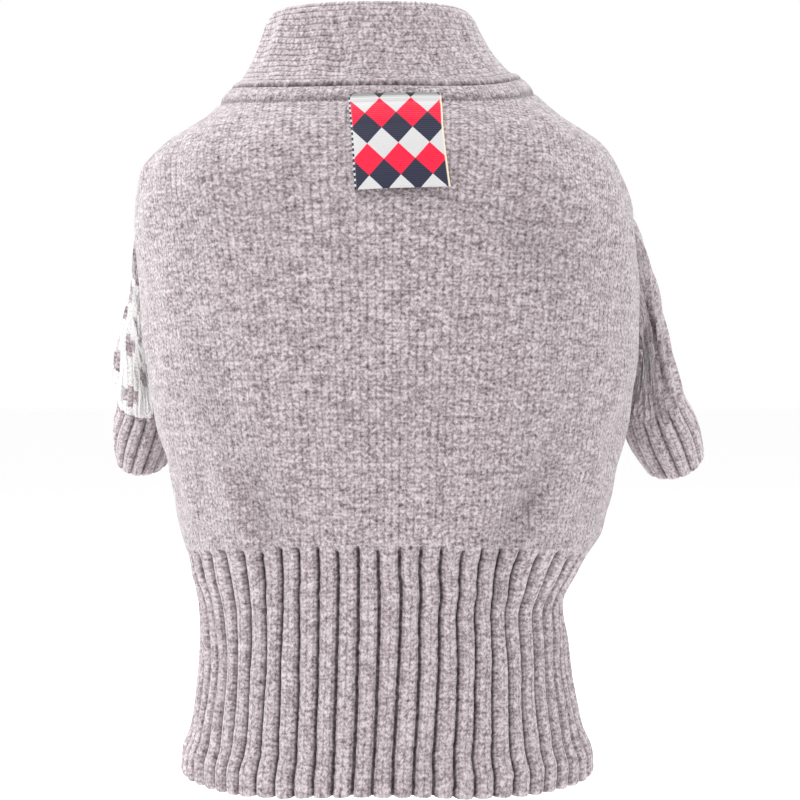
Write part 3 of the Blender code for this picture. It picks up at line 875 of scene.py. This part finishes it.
def cuff_ring(sleeve, turn, from_end, deep=0.0):
    """A ring round the sleeve's end, from_end back from the cuff's edge and deep inside it."""
    end, along, side, front = cuff_frame(sleeve)
    share = from_end / CUFF_LENGTH
    more = CUFF_FULLNESS * np.sin(math.pi * min(share, 1)) - deep
    half_side, half_front = (
        edge + (top - edge) * share + more for top, edge in zip(CUFF_TOP_RADII, CUFF_END_RADII)
    )
    half_side = half_side - sleeve["slimmer"]
    around = (half_side * np.cos(turn))[:, None] * side
    around = around + (half_front * np.sin(turn))[:, None] * front
    return end - from_end * along + around


def cuff_phases(ribs):
    """Phases of the ribs round a sleeve's end, from its inner side, and their turns."""
    phases = ridge_phases(0, ribs.round_cuff, RIB_SAMPLES)[:-1]
    return phases, math.pi + phases / ribs.round_cuff * 2 * math.pi


def sleeve_tube(name, sleeve, ribs, creases, gutter_reach):
    """A sleeve from its armhole to the top of its cuff, clear of the body beside it.

    Each line down the sleeve is a cubic from the armhole's edge, which it leaves outwards and
    downwards, to the cuff's top, which it meets along the cuff. Soft creases run down it, and
    the cuff's gutters open unevenly above the seam, up to gutter_reach from it.
    """
    flip = sleeve["side"] < 0
    phases, turn = cuff_phases(ribs)
    seam = math.radians(SIDE_SEAM_ANGLE)
    middle = math.pi - seam if flip else seam
    angle = middle + sleeve["side"] * math.radians(ARMHOLE_HALF_TURN) * np.sin(turn)
    z = ARMHOLE_Z + ARMHOLE_HALF_HEIGHT * np.cos(turn)
    start = body_point(angle, z, -SEAM_DIP)
    outwards = unit(body_point(angle, z, 1.0) - start)
    downwards = unit(body_point(angle, z - 1.0, -SEAM_DIP) - start)
    end = cuff_ring(sleeve, turn, CUFF_LENGTH)
    long = np.linalg.norm(end - start, axis=-1, keepdims=True)
    under = (1 - np.cos(turn))[:, None] / 2
    out = sleeve["leave_out"] + (UNDERARM_OUT - sleeve["leave_out"]) * under
    leave = long * (out * outwards + sleeve["leave_down"] * (1 - under) * downwards)
    arrive = long * cuff_frame(sleeve)[1]
    t = np.linspace(0, 1, SLEEVE_STEPS + 1)[:, None, None]
    base = (
        start * (1 + 2 * t) * (1 - t) ** 2
        + leave * t * (1 - t) ** 2
        + end * t * t * (3 - 2 * t)
        + arrive * t * t * (t - 1)
    )
    base[1:-1] = clear_of_body(base[1:-1], SLEEVE_BODY_GAP)
    normal = normals(base, True, flip)

    share = t[..., 0]
    quiet = smooth_step(share / SMOOTH_ARMHOLE) * smooth_step((1 - share) / SMOOTH_CUFF)
    move, dark = np.zeros((2, *base.shape[:2]))
    for at, half, lean, first, last, deep, shade in creases:
        away = (np.degrees(turn)[None, :] - at - lean * share + 180) % 360 - 180
        near = bell(away, half) * smooth_step((share - first) / CREASE_FADE)
        near = near * smooth_step((last - share) / CREASE_FADE)
        move = move - deep * near
        dark = np.maximum(dark, shade * near**2)
    move = move + SLEEVE_SWELL * swell(turn * 2, share * 60 + sleeve["cuff_x"])
    closed = closed_ring(base)
    steps = np.linalg.norm(np.diff(closed, axis=0), axis=-1)
    down = np.concatenate([np.zeros((1, len(turn) + 1)), np.cumsum(steps, 0)])
    to_cuff = (down[-1:] - down)[:, :-1]
    draw = np.random.default_rng(round(gutter_reach))
    reach = gutter_reach * draw.uniform(SHORTEST_GUTTER, 1, ribs.round_cuff + 1)
    opened = smooth_step(1 - to_cuff / reach[np.round(phases).astype(int)])
    cut = ribs.cuff_depth / MM * (1 - ridge(phases)) * opened
    outer = base + (move * quiet - cut)[..., None] * normal
    inner = base + (move * quiet - JERSEY_WALL - SLEEVE_INSIDE * cut)[..., None] * normal
    uv = np.stack([arc_length(closed, len(turn) // 2), down - down[-1:]], -1)
    # Painted shade in the cuff's gutters and down the creases, where the body shades the sleeve
    marks = {"gutter": np.maximum(shade_share(ridge(phases)) * opened, dark)}
    return knitted_wall(name, outer, inner, uv, ring=True, flip=flip, marks=marks)


def cuff_tube(name, sleeve, ribs, yarn):
    """A ribbed cuff: ridge() ribs round the rings at the sleeve's end, shallower at the edge."""
    flip = sleeve["side"] < 0
    phases, turn = cuff_phases(ribs)
    rings = np.linspace(CUFF_LENGTH, 0, CUFF_STEPS + 1)
    turned = turn[None, :] + math.radians(sleeve["twist"]) * (1 - rings / CUFF_LENGTH)[:, None]
    base = np.stack([cuff_ring(sleeve, *row) for row in zip(turned, rings)])
    inside = np.stack([cuff_ring(sleeve, *row, RIB_WALL) for row in zip(turned, rings)])
    outwards = unit(base - inside)
    depth = ribs.cuff_depth / MM
    full = 1 - CUFF_EDGE_SHALLOWER * bell(rings, CUFF_EDGE_REACH)
    cut = depth * (1 - ridge(phases))[None, :] * full[:, None]
    lift = CUFF_RAISED * smooth_step((CUFF_LENGTH - rings) / CUFF_RISE)[:, None]
    outer = base + (lift - cut)[..., None] * outwards
    inner = inside - CUFF_INSIDE * cut[..., None] * outwards
    over = (np.append(phases, ribs.round_cuff) - 0.5 / RIB_WALES) * RIB_WALES * yarn.wale / MM
    uv = np.stack(np.broadcast_arrays(over, (CUFF_LENGTH - rings)[:, None]), -1)
    # Painted shade in the gutters between the ridges
    marks = {"gutter": np.broadcast_to(shade_share(ridge(phases)), cut.shape)}
    return knitted_wall(name, outer, inner, uv, ring=True, flip=flip, low=1.0, marks=marks)


def tab_wall(name):
    """The tape tab: the back's own points moved out, over the band and down to its free end."""
    across = np.linspace(-TAB_WIDTH / 2, TAB_WIDTH / 2, TAB_POINTS)[None, :]
    down = np.linspace(0, 1, TAB_POINTS)[:, None]
    z = TAB_TOP_Z + (TAB_BOTTOM_Z - TAB_TOP_Z) * down + TAB_TILT * across
    x = TAB_CENTRE_X + across + TAB_LEAN * (TAB_TOP_Z - z)
    angle = -np.arccos(x / half_sizes(x, 0, z)[0])
    over_band = BAND_RAISED * np.clip(2 - down * 6, 0, 1)
    corner = np.abs(across) / (TAB_WIDTH / 2)
    lift = TAB_FREE_LIFT * down**3 * (1 + 0.5 * corner**2 * np.sign(across))
    to_sewing = (down - TAB_SEWN_AT) * (TAB_TOP_Z - TAB_BOTTOM_Z)
    raised = TAPE_WALL + TAB_CLEARANCE + over_band + lift
    raised = raised - TAB_SEWN_DIP * bell(to_sewing, TAB_SEWN_REACH)
    raised = raised - TAB_EDGE_DIP * bell((1 - corner) * TAB_WIDTH / 2, TAB_EDGE_REACH)
    outer = body_point(angle, z, raised)
    inner = body_point(angle, z, raised - TAPE_WALL)
    uv = np.stack(np.broadcast_arrays(across, down * (TAB_TOP_Z - TAB_BOTTOM_Z)), -1)
    return knitted_wall(name, outer, inner, uv, ring=False, low=1.0, top=0.6)


# ---------------------------------------------------------------- materials

# Stitches: how far their two legs slant, in rows, where each lies across its half of the wale
# and how fast it falls away from there, how deep the gap between two rows is, how unevenly
# the stitches lie, and how flat their tops are. A rate is how often a noise repeats in a mm
LEG_SLANT, PURL_SLANT = 1.1, 0.5
LEG_MIDDLE = 0.19
LEG_FALL, PURL_FALL = 9.5, 6.0
ROW_GAP = 0.6
STITCH_WARP, WARP_RATE = 0.55, 0.7
STITCH_ROUND = 0.8

# How unevenly the fibres lie over the stitches, as a share of a stitch's height
FUZZ, FUZZ_RATE = 0.9, 1.3

# Heathering: how much of it is a stitch's own, then streaks and single fibres, each with its
# repeats for each mm across and along, detail, roughness and weight, and the level of it all
STITCH_OWN = 0.2
STREAKS = ((0.15, 0.45, 1), 2.0, 0.6, 0.85)
FIBRES = ((0.74, 1.12, 1), 1.2, 0.5, 1.4)
HEATHER_LEVEL = 0.725
# Painted shade and light of the stitches: how far the colour follows a stitch's height, darker in
# the gaps between its legs and lighter on its tops, and how far that is moved down
STITCH_SHADE_WEIGHT, STITCH_SHADE_LEVEL = 0.34, 0.03

# Weight of the bright rim that the loose fibres give, on the ribs and elsewhere
RIB_SHEEN, WOOL_SHEEN = 0.2, 0.4

# Holes of the linked row: how far below the band they lie, their shape, the shares of their
# size where the darkness begins to fade and has gone, and how dark they are
HOLE_DOWN, HOLE_HIGH, HOLE_NARROW = 0.5, 0.9, 1.3
HOLE_FADE, HOLE_EDGE, HOLE_DARK = 0.5, 1.2, 0.8

# How often the tightness of the gutters changes in a mm, and between which values of the
# noise it goes from loose to tight
TIGHT_RATE, TIGHT_FROM, TIGHT_TO = 0.55, 0.35, 0.6

# The sleeve's motif, counted in stitches: one diamond's wales and courses, the half size of
# its grey part as a share of its cell, and the courses above the cuff where it stands
MOTIF_WALES, MOTIF_COURSES = 8, 12
MOTIF_HALF = 0.24
MOTIF_FIRST_COURSE, MOTIF_LAST_COURSE = -34, -1

# Tape: how far the diamonds are shifted along it, as a share of one, how wide its selvedge
# is, the length of one dash of that, and the share of it that is dark
DIAMOND_SHIFT = 0.35
SELVEDGE_FROM, SELVEDGE_TO, DASH_WIDE = 0.65, 0.4, 0.55
SELVEDGE_DASH, DASH_GAP = 1.6, 0.45

# The tape's upper fold: where its shade begins to lift and has gone, in mm down the tape, and
# how much light is left in it
FOLD_FROM, FOLD_TO, FOLD_LIGHT = 0.25, 1.3, 0.35


def add(tree, kind, inputs=(), **settings):
    """Adds a shader node with its settings, and links or sets its inputs.

    Inputs come by name, or in order. A node given as one is linked by its first output in use.
    """
    node = tree.nodes.new("ShaderNode" + kind)
    for name, value in settings.items():
        setattr(node, name, value)
    if isinstance(inputs, dict):
        given = [(node.inputs[name], value) for name, value in inputs.items()]
    else:
        given = zip([socket for socket in node.inputs if socket.enabled], inputs)
    for socket, value in given:
        if isinstance(value, bpy.types.Node):
            value = next(output for output in value.outputs if output.enabled)
        if isinstance(value, bpy.types.NodeSocket):
            tree.links.new(value, socket)
        else:
            socket.default_value = value
    return node


def new_material(name):
    material = bpy.data.materials.new(name)
    material.use_nodes = True
    material.node_tree.nodes.clear()
    return material, material.node_tree


def stitch_pattern(tree, wale, course, purl=False):
    """Height of knitted stitches over the piece's own knit map, and the stitch each one is in.

    Across a wale the height is a hump over each of its two legs. Along it, each leg is a
    strand that climbs away from the wale's middle. The purl side has the strands' humps as
    nearly level waves instead.
    """
    slant, fall = (PURL_SLANT, PURL_FALL) if purl else (LEG_SLANT, LEG_FALL)
    uv = add(tree, "UVMap", uv_map="knit")
    noise = add(tree, "TexNoise", {"Vector": uv, "Scale": WARP_RATE, "Detail": 1.0})
    off = add(tree, "VectorMath", (noise.outputs["Color"], (0.5, 0.5, 0.5)), operation="SUBTRACT")
    warp = add(tree, "VectorMath", (off, (STITCH_WARP, STITCH_WARP, 0)), operation="MULTIPLY")
    count = add(tree, "VectorMath", (uv, (MM / wale, -MM / course, 0)), operation="MULTIPLY")
    place = add(tree, "VectorMath", (count, warp), operation="ADD")
    x, y, _ = add(tree, "SeparateXYZ", (place,)).outputs
    in_wale = add(tree, "Math", (x,), operation="FRACT")
    aside = add(tree, "Math", (in_wale, 0.5), operation="SUBTRACT")
    aside = add(tree, "Math", (aside,), operation="ABSOLUTE")
    climb = add(tree, "Math", (aside, -2 * slant, y), operation="MULTIPLY_ADD")
    in_row = add(tree, "Math", (climb,), operation="FRACT")
    humps = []
    for at, middle, drop in ((in_row, 0.5, 4 * ROW_GAP), (aside, LEG_MIDDLE, fall)):
        off = add(tree, "Math", (at, middle), operation="SUBTRACT")
        square = add(tree, "Math", (off, off), operation="MULTIPLY")
        humps.append(add(tree, "Math", (square, -drop, 1.0), operation="MULTIPLY_ADD"))
    both = add(tree, "Math", humps, operation="MULTIPLY")
    even = add(tree, "Math", (both, STITCH_ROUND), operation="POWER", use_clamp=True)
    look = {"Vector": uv, "Scale": FUZZ_RATE, "Detail": 1.0, "Roughness": 0.5}
    hair = add(tree, "TexNoise", look)
    hair = add(tree, "Math", (hair, FUZZ, -0.5 * FUZZ), operation="MULTIPLY_ADD")
    height = add(tree, "Math", (even, hair), operation="ADD")
    row = add(tree, "Math", (climb,), operation="FLOOR")
    half = add(tree, "Math", (x, 2.0), operation="MULTIPLY")
    half = add(tree, "Math", (half,), operation="FLOOR")
    return uv, height, add(tree, "CombineXYZ", (half, row))


def heather(tree, uv, cell, height, yarn, lift=0.0):
    """Colour of heathered yarn: dark, grey and light fibres, streaked along the rows.

    The stitch's height is painted in, as shade in the gaps between its legs and as light on their
    tops. lift moves it all towards the light fibres, as painted light: a lighter copy of the wool.
    """
    stitch = add(tree, "TexWhiteNoise", (cell,), noise_dimensions="2D")
    share = add(tree, "Math", (stitch, STITCH_OWN, -STITCH_OWN / 2), operation="MULTIPLY_ADD")
    for rate, detail, roughness, weight in (STREAKS, FIBRES):
        place = add(tree, "VectorMath", (uv, rate), operation="MULTIPLY")
        look = {"Vector": place, "Scale": 1.0, "Detail": detail, "Roughness": roughness}
        noise = add(tree, "TexNoise", look)
        share = add(tree, "Math", (noise, weight, share), operation="MULTIPLY_ADD")
    share = add(tree, "Math", (share, HEATHER_LEVEL), operation="SUBTRACT")
    # Painted shade in the gaps between stitch legs and painted light on their tops, plus lift
    deep = (height, STITCH_SHADE_WEIGHT, lift - STITCH_SHADE_LEVEL)
    deep = add(tree, "Math", deep, operation="MULTIPLY_ADD")
    total = add(tree, "Math", (share, deep), operation="ADD", use_clamp=True)
    ramp = add(tree, "ValToRGB", (total,))
    stops = ramp.color_ramp.elements
    stops[0].position, stops[0].color = 0.08, yarn.dark
    stops[1].position, stops[1].color = 1.0, yarn.light
    middle = stops.new(0.5)
    middle.color = yarn.grey
    return ramp


def wool_surface(tree, base, height, relief, sheen=WOOL_SHEEN):
    """Wool scatters light evenly, with a faint bright rim of loose fibres (sheen)."""
    bump = add(tree, "Bump", {"Height": height, "Strength": 1.0, "Distance": relief})
    shader = add(tree, "BsdfPrincipled", {
        "Base Color": base,
        "Roughness": 0.92,
        "IOR": 1.54,
        "Specular IOR Level": 0.2,
        "Sheen Weight": sheen,
        "Sheen Roughness": 0.35,
        "Sheen Tint": linear("#FBFFFD"),
        "Normal": bump,
    })
    add(tree, "OutputMaterial", (shader,))


def linked_row(tree, uv, base, yarn):
    """Darkens the small holes of the row that links the band on, two to each wale.

    A hole is an ellipse round the middle of each half wale, a little below the band.
    """
    halves = add(tree, "VectorMath", (uv, (2 * MM / yarn.wale, 0, 0)), operation="MULTIPLY")
    x = add(tree, "SeparateXYZ", (halves,))
    part = add(tree, "Math", (x,), operation="FRACT")
    across = add(tree, "Math", (part, 2 * HOLE_NARROW, -HOLE_NARROW), operation="MULTIPLY_ADD")
    mark = add(tree, "Attribute", attribute_name="from_neck").outputs["Fac"]
    down = (mark, 1 / HOLE_HIGH, -HOLE_DOWN / HOLE_HIGH)
    down = add(tree, "Math", down, operation="MULTIPLY_ADD")
    place = add(tree, "CombineXYZ", (across, down))
    far = add(tree, "VectorMath", (place,), operation="LENGTH")
    fade = (far, HOLE_FADE, HOLE_EDGE, HOLE_DARK, 0.0)
    hole = add(tree, "MapRange", fade, interpolation_type="SMOOTHSTEP")
    return add(tree, "Mix", (hole, base, linear("#33292D")), data_type="RGBA")


def painted_shade(tree, uv, base, depth, broken=0.2):
    """Darkens a colour between ridges, where the wool lies folded in out of the light.

    The darkening is painted shade, by the gutter mark: between ridges, in folds and creases and
    along seams. broken is how far stitches of uneven tightness cut the dark lines up, from 0 to 1.
    """
    mark = add(tree, "Attribute", attribute_name="gutter").outputs["Fac"]
    uneven = add(tree, "TexNoise", {"Vector": uv, "Scale": TIGHT_RATE, "Detail": 0.0})
    tight = (uneven, TIGHT_FROM, TIGHT_TO, depth * (1 - broken), depth)
    tight = add(tree, "MapRange", tight)
    share = add(tree, "Math", (mark, tight), operation="MULTIPLY", use_clamp=True)
    # Mixes in the dark colour of the painted shade
    return add(tree, "Mix", (share, base, linear("#250E19")), data_type="RGBA")


def jersey_knit(yarn, name, linked):
    """Plain knit of heathered wool: columns of small V stitches, matt and slightly hairy."""
    material, tree = new_material(name)
    uv, height, cell = stitch_pattern(tree, yarn.wale, yarn.course)
    # The sleeve's jersey, not linked, is a lighter copy of the wool: painted light
    base = heather(tree, uv, cell, height, yarn, 0.0 if linked else 0.1)
    if linked:
        base = linked_row(tree, uv, base, yarn)
    wool_surface(tree, painted_shade(tree, uv, base, 0.85), height, yarn.relief)
    return material


def jersey_reverse(yarn):
    """The purl side of the jersey: level waves of yarn, a little darker for being inside."""
    material, tree = new_material("heathered_wool_jersey_reverse")
    uv, height, cell = stitch_pattern(tree, yarn.wale, yarn.course, purl=True)
    wool_surface(tree, heather(tree, uv, cell, height, yarn), height, yarn.relief)
    return material


def motif_knit(yarn):
    """Jersey with a white lattice knitted in round small grey diamonds, stepped by the stitch."""
    material, tree = new_material("heathered_wool_jersey_with_diamonds")
    uv, height, cell = stitch_pattern(tree, yarn.wale, yarn.course)
    grey = heather(tree, uv, cell, height, yarn)
    stitch = (MM / yarn.wale, MM / yarn.course, 0)
    stitches = add(tree, "VectorMath", (uv, stitch), operation="MULTIPLY")
    whole = add(tree, "VectorMath", (stitches,), operation="FLOOR")
    wale, course, _ = add(tree, "SeparateXYZ", (whole,)).outputs
    x = add(tree, "Math", (wale, 1 / MOTIF_WALES), operation="MULTIPLY")
    y = add(tree, "Math", (course, 1 / MOTIF_COURSES), operation="MULTIPLY")
    sides = []
    for operation in ("ADD", "SUBTRACT"):
        lattice = add(tree, "Math", (x, y), operation=operation)
        part = add(tree, "Math", (lattice,), operation="FRACT")
        part = add(tree, "Math", (part, 0.5), operation="SUBTRACT")
        sides.append(add(tree, "Math", (part,), operation="ABSOLUTE"))
    far = add(tree, "Math", sides, operation="MAXIMUM")
    outside = add(tree, "Math", (far, MOTIF_HALF), operation="GREATER_THAN")
    below_top = add(tree, "Math", (course, MOTIF_FIRST_COURSE), operation="GREATER_THAN")
    above_cuff = add(tree, "Math", (course, MOTIF_LAST_COURSE), operation="LESS_THAN")
    placed = add(tree, "Math", (below_top, above_cuff), operation="MULTIPLY")
    white = add(tree, "Math", (outside, placed), operation="MULTIPLY")
    # Painted shade on the white yarn: greyer in the gaps between stitch legs, by the stitch's
    # height
    shade = add(tree, "Mix", (height, linear("#AFABAC"), yarn.white), data_type="RGBA")
    base = add(tree, "Mix", (white, grey, shade), data_type="RGBA")
    wool_surface(tree, painted_shade(tree, uv, base, 0.7), height, yarn.relief)
    return material


def rib_knit(yarn, name, depth, broken=0.2, lift=0.0, wale=None, relief=1.0, sheen=WOOL_SHEEN):
    """Rib knit of the same wool: full ridges of two wales with a purl wale between, in painted
    shade.
    """
    material, tree = new_material(name)
    uv, height, cell = stitch_pattern(tree, wale or yarn.wale, yarn.course)
    base = painted_shade(tree, uv, heather(tree, uv, cell, height, yarn, lift), depth, broken)
    wool_surface(tree, base, height, relief * yarn.relief, sheen)
    return material


def woven_tape(tape):
    """Polyester tape, woven close and smooth: fine ribs across it and a soft gloss."""
    material, tree = new_material("woven_polyester_tape")
    uv = add(tree, "UVMap", uv_map="knit")
    rate = (MM / tape.diamond_width, MM / tape.diamond_height, 0)
    cells = add(tree, "VectorMath", (uv, rate, (0, DIAMOND_SHIFT, 0)), operation="MULTIPLY_ADD")
    across, along, _ = add(tree, "SeparateXYZ", (cells,)).outputs
    floors = []
    for operation in ("ADD", "SUBTRACT"):
        lattice = add(tree, "Math", (across, along), operation=operation)
        floors.append(add(tree, "Math", (lattice,), operation="FLOOR"))
    number = add(tree, "Math", floors, operation="SUBTRACT")
    number = add(tree, "Math", (number, 3.0), operation="FLOORED_MODULO")
    base = tape.navy
    for yarn_number, yarn in ((1.0, tape.white), (2.0, tape.red)):
        chosen = add(tree, "Math", (number, yarn_number, 0.5), operation="COMPARE")
        base = add(tree, "Mix", (chosen, base, yarn), data_type="RGBA")
    x, y, _ = add(tree, "SeparateXYZ", (uv,)).outputs
    half = TAB_WIDTH / 2
    for side, yarn in ((-1, tape.white), (1, tape.selvedge)):
        edge = (x, side * (half - SELVEDGE_FROM), side * (half - SELVEDGE_TO))
        edge = add(tree, "MapRange", edge)
        base = add(tree, "Mix", (edge, base, yarn), data_type="RGBA")
    dash = add(tree, "Math", (y, 1 / SELVEDGE_DASH), operation="MULTIPLY")
    dash = add(tree, "Math", (dash,), operation="FRACT")
    dash = add(tree, "Math", (dash, DASH_GAP), operation="GREATER_THAN")
    left = add(tree, "Math", (x, DASH_WIDE - half), operation="LESS_THAN")
    dark = add(tree, "Math", (dash, left), operation="MULTIPLY")
    base = add(tree, "Mix", (dark, base, tape.navy), data_type="RGBA")
    fold = add(tree, "MapRange", (y, FOLD_FROM, FOLD_TO, FOLD_LIGHT, 1.0))
    base = add(tree, "VectorMath", (base, fold), operation="MULTIPLY")
    weave = add(tree, "TexWave", {"Vector": uv, "Scale": 0.5, "Distortion": 0.3},
                wave_type="BANDS", bands_direction="Y").outputs["Fac"]
    bump = add(tree, "Bump", {"Height": weave, "Strength": 0.5, "Distance": 0.15 * MM})
    shader = add(tree, "BsdfPrincipled", {
        "Base Color": base,
        "Roughness": 0.6,
        "IOR": 1.57,
        "Specular IOR Level": 0.2,
        "Normal": bump,
    })
    add(tree, "OutputMaterial", (shader,))
    return material


def plain_floor(stage):
    """Matt painted board."""
    material, tree = new_material("matt_white_board")
    grain = add(tree, "TexNoise", {"Scale": 40.0, "Detail": 2.0})
    rough = add(tree, "MapRange", (grain, 0.0, 1.0, 0.8, 0.95))
    shader = add(tree, "BsdfPrincipled", {"Base Color": stage.floor, "Roughness": rough})
    add(tree, "OutputMaterial", (shader,))
    return material


# ---------------------------------------------------------------- operators

# How far the floor reaches each way, in m, and the points along its side
FLOOR_REACH, FLOOR_POINTS = 40.0, 13

# Lamps: where each stands and how wide its soft square is, in m
LAMPS = {
    "key": ((-0.4, -0.6, 1.15), 0.35),
    "fill": ((0.1, -1.25, 0.4), 0.8),
    "left_rim": ((-0.75, 0.58, 0.6), 0.8),
    "right_rim": ((0.7, 0.55, 0.6), 0.8),
    "crown": ((-0.1, 0.45, 1.2), 0.8),
}


def finish_piece(obj, node, face, inside=None):
    """Gives a piece its two materials, hangs it under the root and hides the solid that it stands
    for.
    """
    for material in (face, inside or face):
        obj.data.materials.append(material)
    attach(obj, "root")
    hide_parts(node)


class SWEATER_OT_stage(bpy.types.Operator):
    """Make the floor, the white surround, the soft light and the camera"""

    bl_idname = "sweater.stage"
    bl_label = "Stage"

    def execute(self, context):
        scene = context.scene
        stage = scene.sweater.stage
        side = np.linspace(-FLOOR_REACH, FLOOR_REACH, FLOOR_POINTS)
        x, y = np.meshgrid(side, side, indexing="ij")
        z = np.full_like(x, HEM_Z * MM - stage.floor_drop)
        points = np.stack([x, y, z], -1).reshape(-1, 3)
        at = np.arange(FLOOR_POINTS**2).reshape(FLOOR_POINTS, FLOOR_POINTS)
        quads = np.stack([at[:-1, :-1], at[1:, :-1], at[1:, 1:], at[:-1, 1:]], -1)
        mesh = bpy.data.meshes.new("floor")
        mesh.from_pydata(points.tolist(), [], quads.reshape(-1, 4).tolist())
        mesh.materials.append(plain_floor(stage))
        floor = bpy.data.objects.new("floor", mesh)
        scene.collection.objects.link(floor)

        world = bpy.data.worlds.new("white_surround")
        world.use_nodes = True
        world.node_tree.nodes.clear()
        white = {"Color": linear("#FFFFFF"), "Strength": stage.sky}
        sky = add(world.node_tree, "Background", white)
        add(world.node_tree, "OutputWorld", (sky,))
        scene.world = world

        for name, (place, size) in LAMPS.items():
            light = bpy.data.lights.new(name, "AREA")
            light.shape, light.size, light.energy = "SQUARE", size, getattr(stage, name)
            lamp = bpy.data.objects.new(name, light)
            lamp.location = place
            towards = -lamp.location.copy()
            towards.z += HEM_Z * MM / 2
            lamp.rotation_euler = towards.to_track_quat("-Z", "Y").to_euler()
            scene.collection.objects.link(lamp)

        camera = bpy.data.cameras.new("camera")
        camera.lens, camera.sensor_width = stage.lens, 36.0
        camera.clip_start = 0.01
        holder = bpy.data.objects.new("camera", camera)
        holder.location = (stage.aside, -stage.distance, stage.height)
        holder.rotation_euler = (math.radians(90), 0, 0)
        scene.collection.objects.link(holder)
        scene.camera = holder
        scene.view_settings.view_transform = "Standard"
        return {"FINISHED"}


class SWEATER_OT_body(bpy.types.Operator):
    """Make the jersey panels of the back and the chest"""

    bl_idname = "sweater.body"
    bl_label = "Body panels"

    def execute(self, context):
        yarn = context.scene.sweater.yarn
        knit = jersey_knit(yarn, "heathered_wool_jersey", True)
        reverse = jersey_reverse(yarn)
        for node, seams in PANEL_SEAMS.items():
            panel = body_panel(f"{node}_jersey", seams, yarn)
            finish_piece(panel, node, knit, reverse)
        return {"FINISHED"}


class SWEATER_OT_waist(bpy.types.Operator):
    """Make the ribbed waist, in two panels"""

    bl_idname = "sweater.waist"
    bl_label = "Ribbed waist"

    def execute(self, context):
        settings = context.scene.sweater
        # A little lighter, as painted light, with deep painted shade in its gutters
        knit = rib_knit(
            settings.yarn, "heathered_wool_waist_rib", 0.9, lift=0.07, sheen=RIB_SHEEN
        )
        for node, seams in PANEL_SEAMS.items():
            panel = rib_panel(f"waist_rib_{node}_knit", seams, settings.ribs, settings.yarn)
            finish_piece(panel, f"waist_rib_{node}", knit)
        return {"FINISHED"}


class SWEATER_OT_neck(bpy.types.Operator):
    """Make the collar and the linked band below its seam"""

    bl_idname = "sweater.neck"
    bl_label = "Collar and neck band"

    def execute(self, context):
        yarn, ribs = context.scene.sweater.yarn, context.scene.sweater.ribs
        collar = collar_wall("collar_knit", ribs)
        # Knitted sideways, so that its stitches run round the neck in close flat ribs
        knit = rib_knit(
            yarn, "heathered_wool_collar_rib", 1.0, 0.5, wale=ribs.collar_pitch, relief=0.6
        )
        finish_piece(collar, "collar", knit)
        band = neck_band("neck_band_knit")
        # A strip of jersey between two broken lines of painted shade, at the seam and at the
        # linking
        strip = rib_knit(yarn, "heathered_wool_linked_band", 1.0, 0.5)
        finish_piece(band, "neck_band", strip)
        return {"FINISHED"}


class SWEATER_OT_sleeves(bpy.types.Operator):
    """Make both sleeves and their ribbed cuffs"""

    bl_idname = "sweater.sleeves"
    bl_label = "Sleeves and cuffs"

    def execute(self, context):
        yarn, ribs = context.scene.sweater.yarn, context.scene.sweater.ribs
        reverse = jersey_reverse(yarn)
        plain = jersey_knit(yarn, "heathered_wool_sleeve_jersey", False)
        knits = {"right": plain, "left": motif_knit(yarn)}
        # Lighter still, as painted light where the body shades the cuffs, with soft painted shade
        # in its gutters
        rib = rib_knit(yarn, "heathered_wool_cuff_rib", 0.6, lift=0.16, sheen=RIB_SHEEN)
        for side, row in SLEEVES.items():
            sleeve = dict(zip(SLEEVE_COLUMNS, row))
            creases, reach = SLEEVE_CREASES[side], GUTTER_REACH[side]
            tube = sleeve_tube(f"sleeve_{side}_jersey", sleeve, ribs, creases, reach)
            finish_piece(tube, f"sleeve_{side}", knits[side], reverse)
            cuff = cuff_tube(f"cuff_{side}_knit", sleeve, ribs, yarn)
            finish_piece(cuff, f"cuff_{side}", rib)
        return {"FINISHED"}


class SWEATER_OT_tab(bpy.types.Operator):
    """Make the woven tape tab at the back of the neck"""

    bl_idname = "sweater.tab"
    bl_label = "Neck tab"

    def execute(self, context):
        tape = woven_tape(context.scene.sweater.tape)
        finish_piece(tab_wall("neck_tab_tape"), "neck_tab", tape)
        return {"FINISHED"}


class SWEATER_PT_panel(bpy.types.Panel):
    """Sizes and colours of the sweater, and the steps that build it"""

    bl_idname = "SWEATER_PT_panel"
    bl_label = "Dog sweater"
    bl_space_type = "VIEW_3D"
    bl_region_type = "UI"
    bl_category = "Sweater"

    def draw(self, context):
        settings = context.scene.sweater
        for group in (settings.yarn, settings.ribs, settings.tape, settings.stage):
            box = self.layout.box()
            for name in group.bl_rna.properties.keys():
                if name not in ("rna_type", "name"):
                    box.prop(group, name)
        for operator in OPERATORS:
            self.layout.operator(operator.bl_idname)


OPERATORS = (
    SWEATER_OT_stage,
    SWEATER_OT_body,
    SWEATER_OT_waist,
    SWEATER_OT_neck,
    SWEATER_OT_sleeves,
    SWEATER_OT_tab,
)
GROUPS = (SweaterYarn, SweaterRibs, SweaterTape, SweaterStage, SweaterSettings)


def register():
    for made in (*GROUPS, *OPERATORS, SWEATER_PT_panel):
        bpy.utils.register_class(made)
    bpy.types.Scene.sweater = bpy.props.PointerProperty(
        type=SweaterSettings, name="Sweater", description="Sizes and colours of the sweater"
    )


def unregister():
    del bpy.types.Scene.sweater
    for made in reversed((*GROUPS, *OPERATORS, SWEATER_PT_panel)):
        bpy.utils.unregister_class(made)


def main():
    """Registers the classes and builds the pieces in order."""
    register()
    bpy.ops.sweater.stage()
    bpy.ops.sweater.body()
    bpy.ops.sweater.waist()
    bpy.ops.sweater.neck()
    bpy.ops.sweater.sleeves()
    bpy.ops.sweater.tab()


if __name__ == "__main__":
    main()
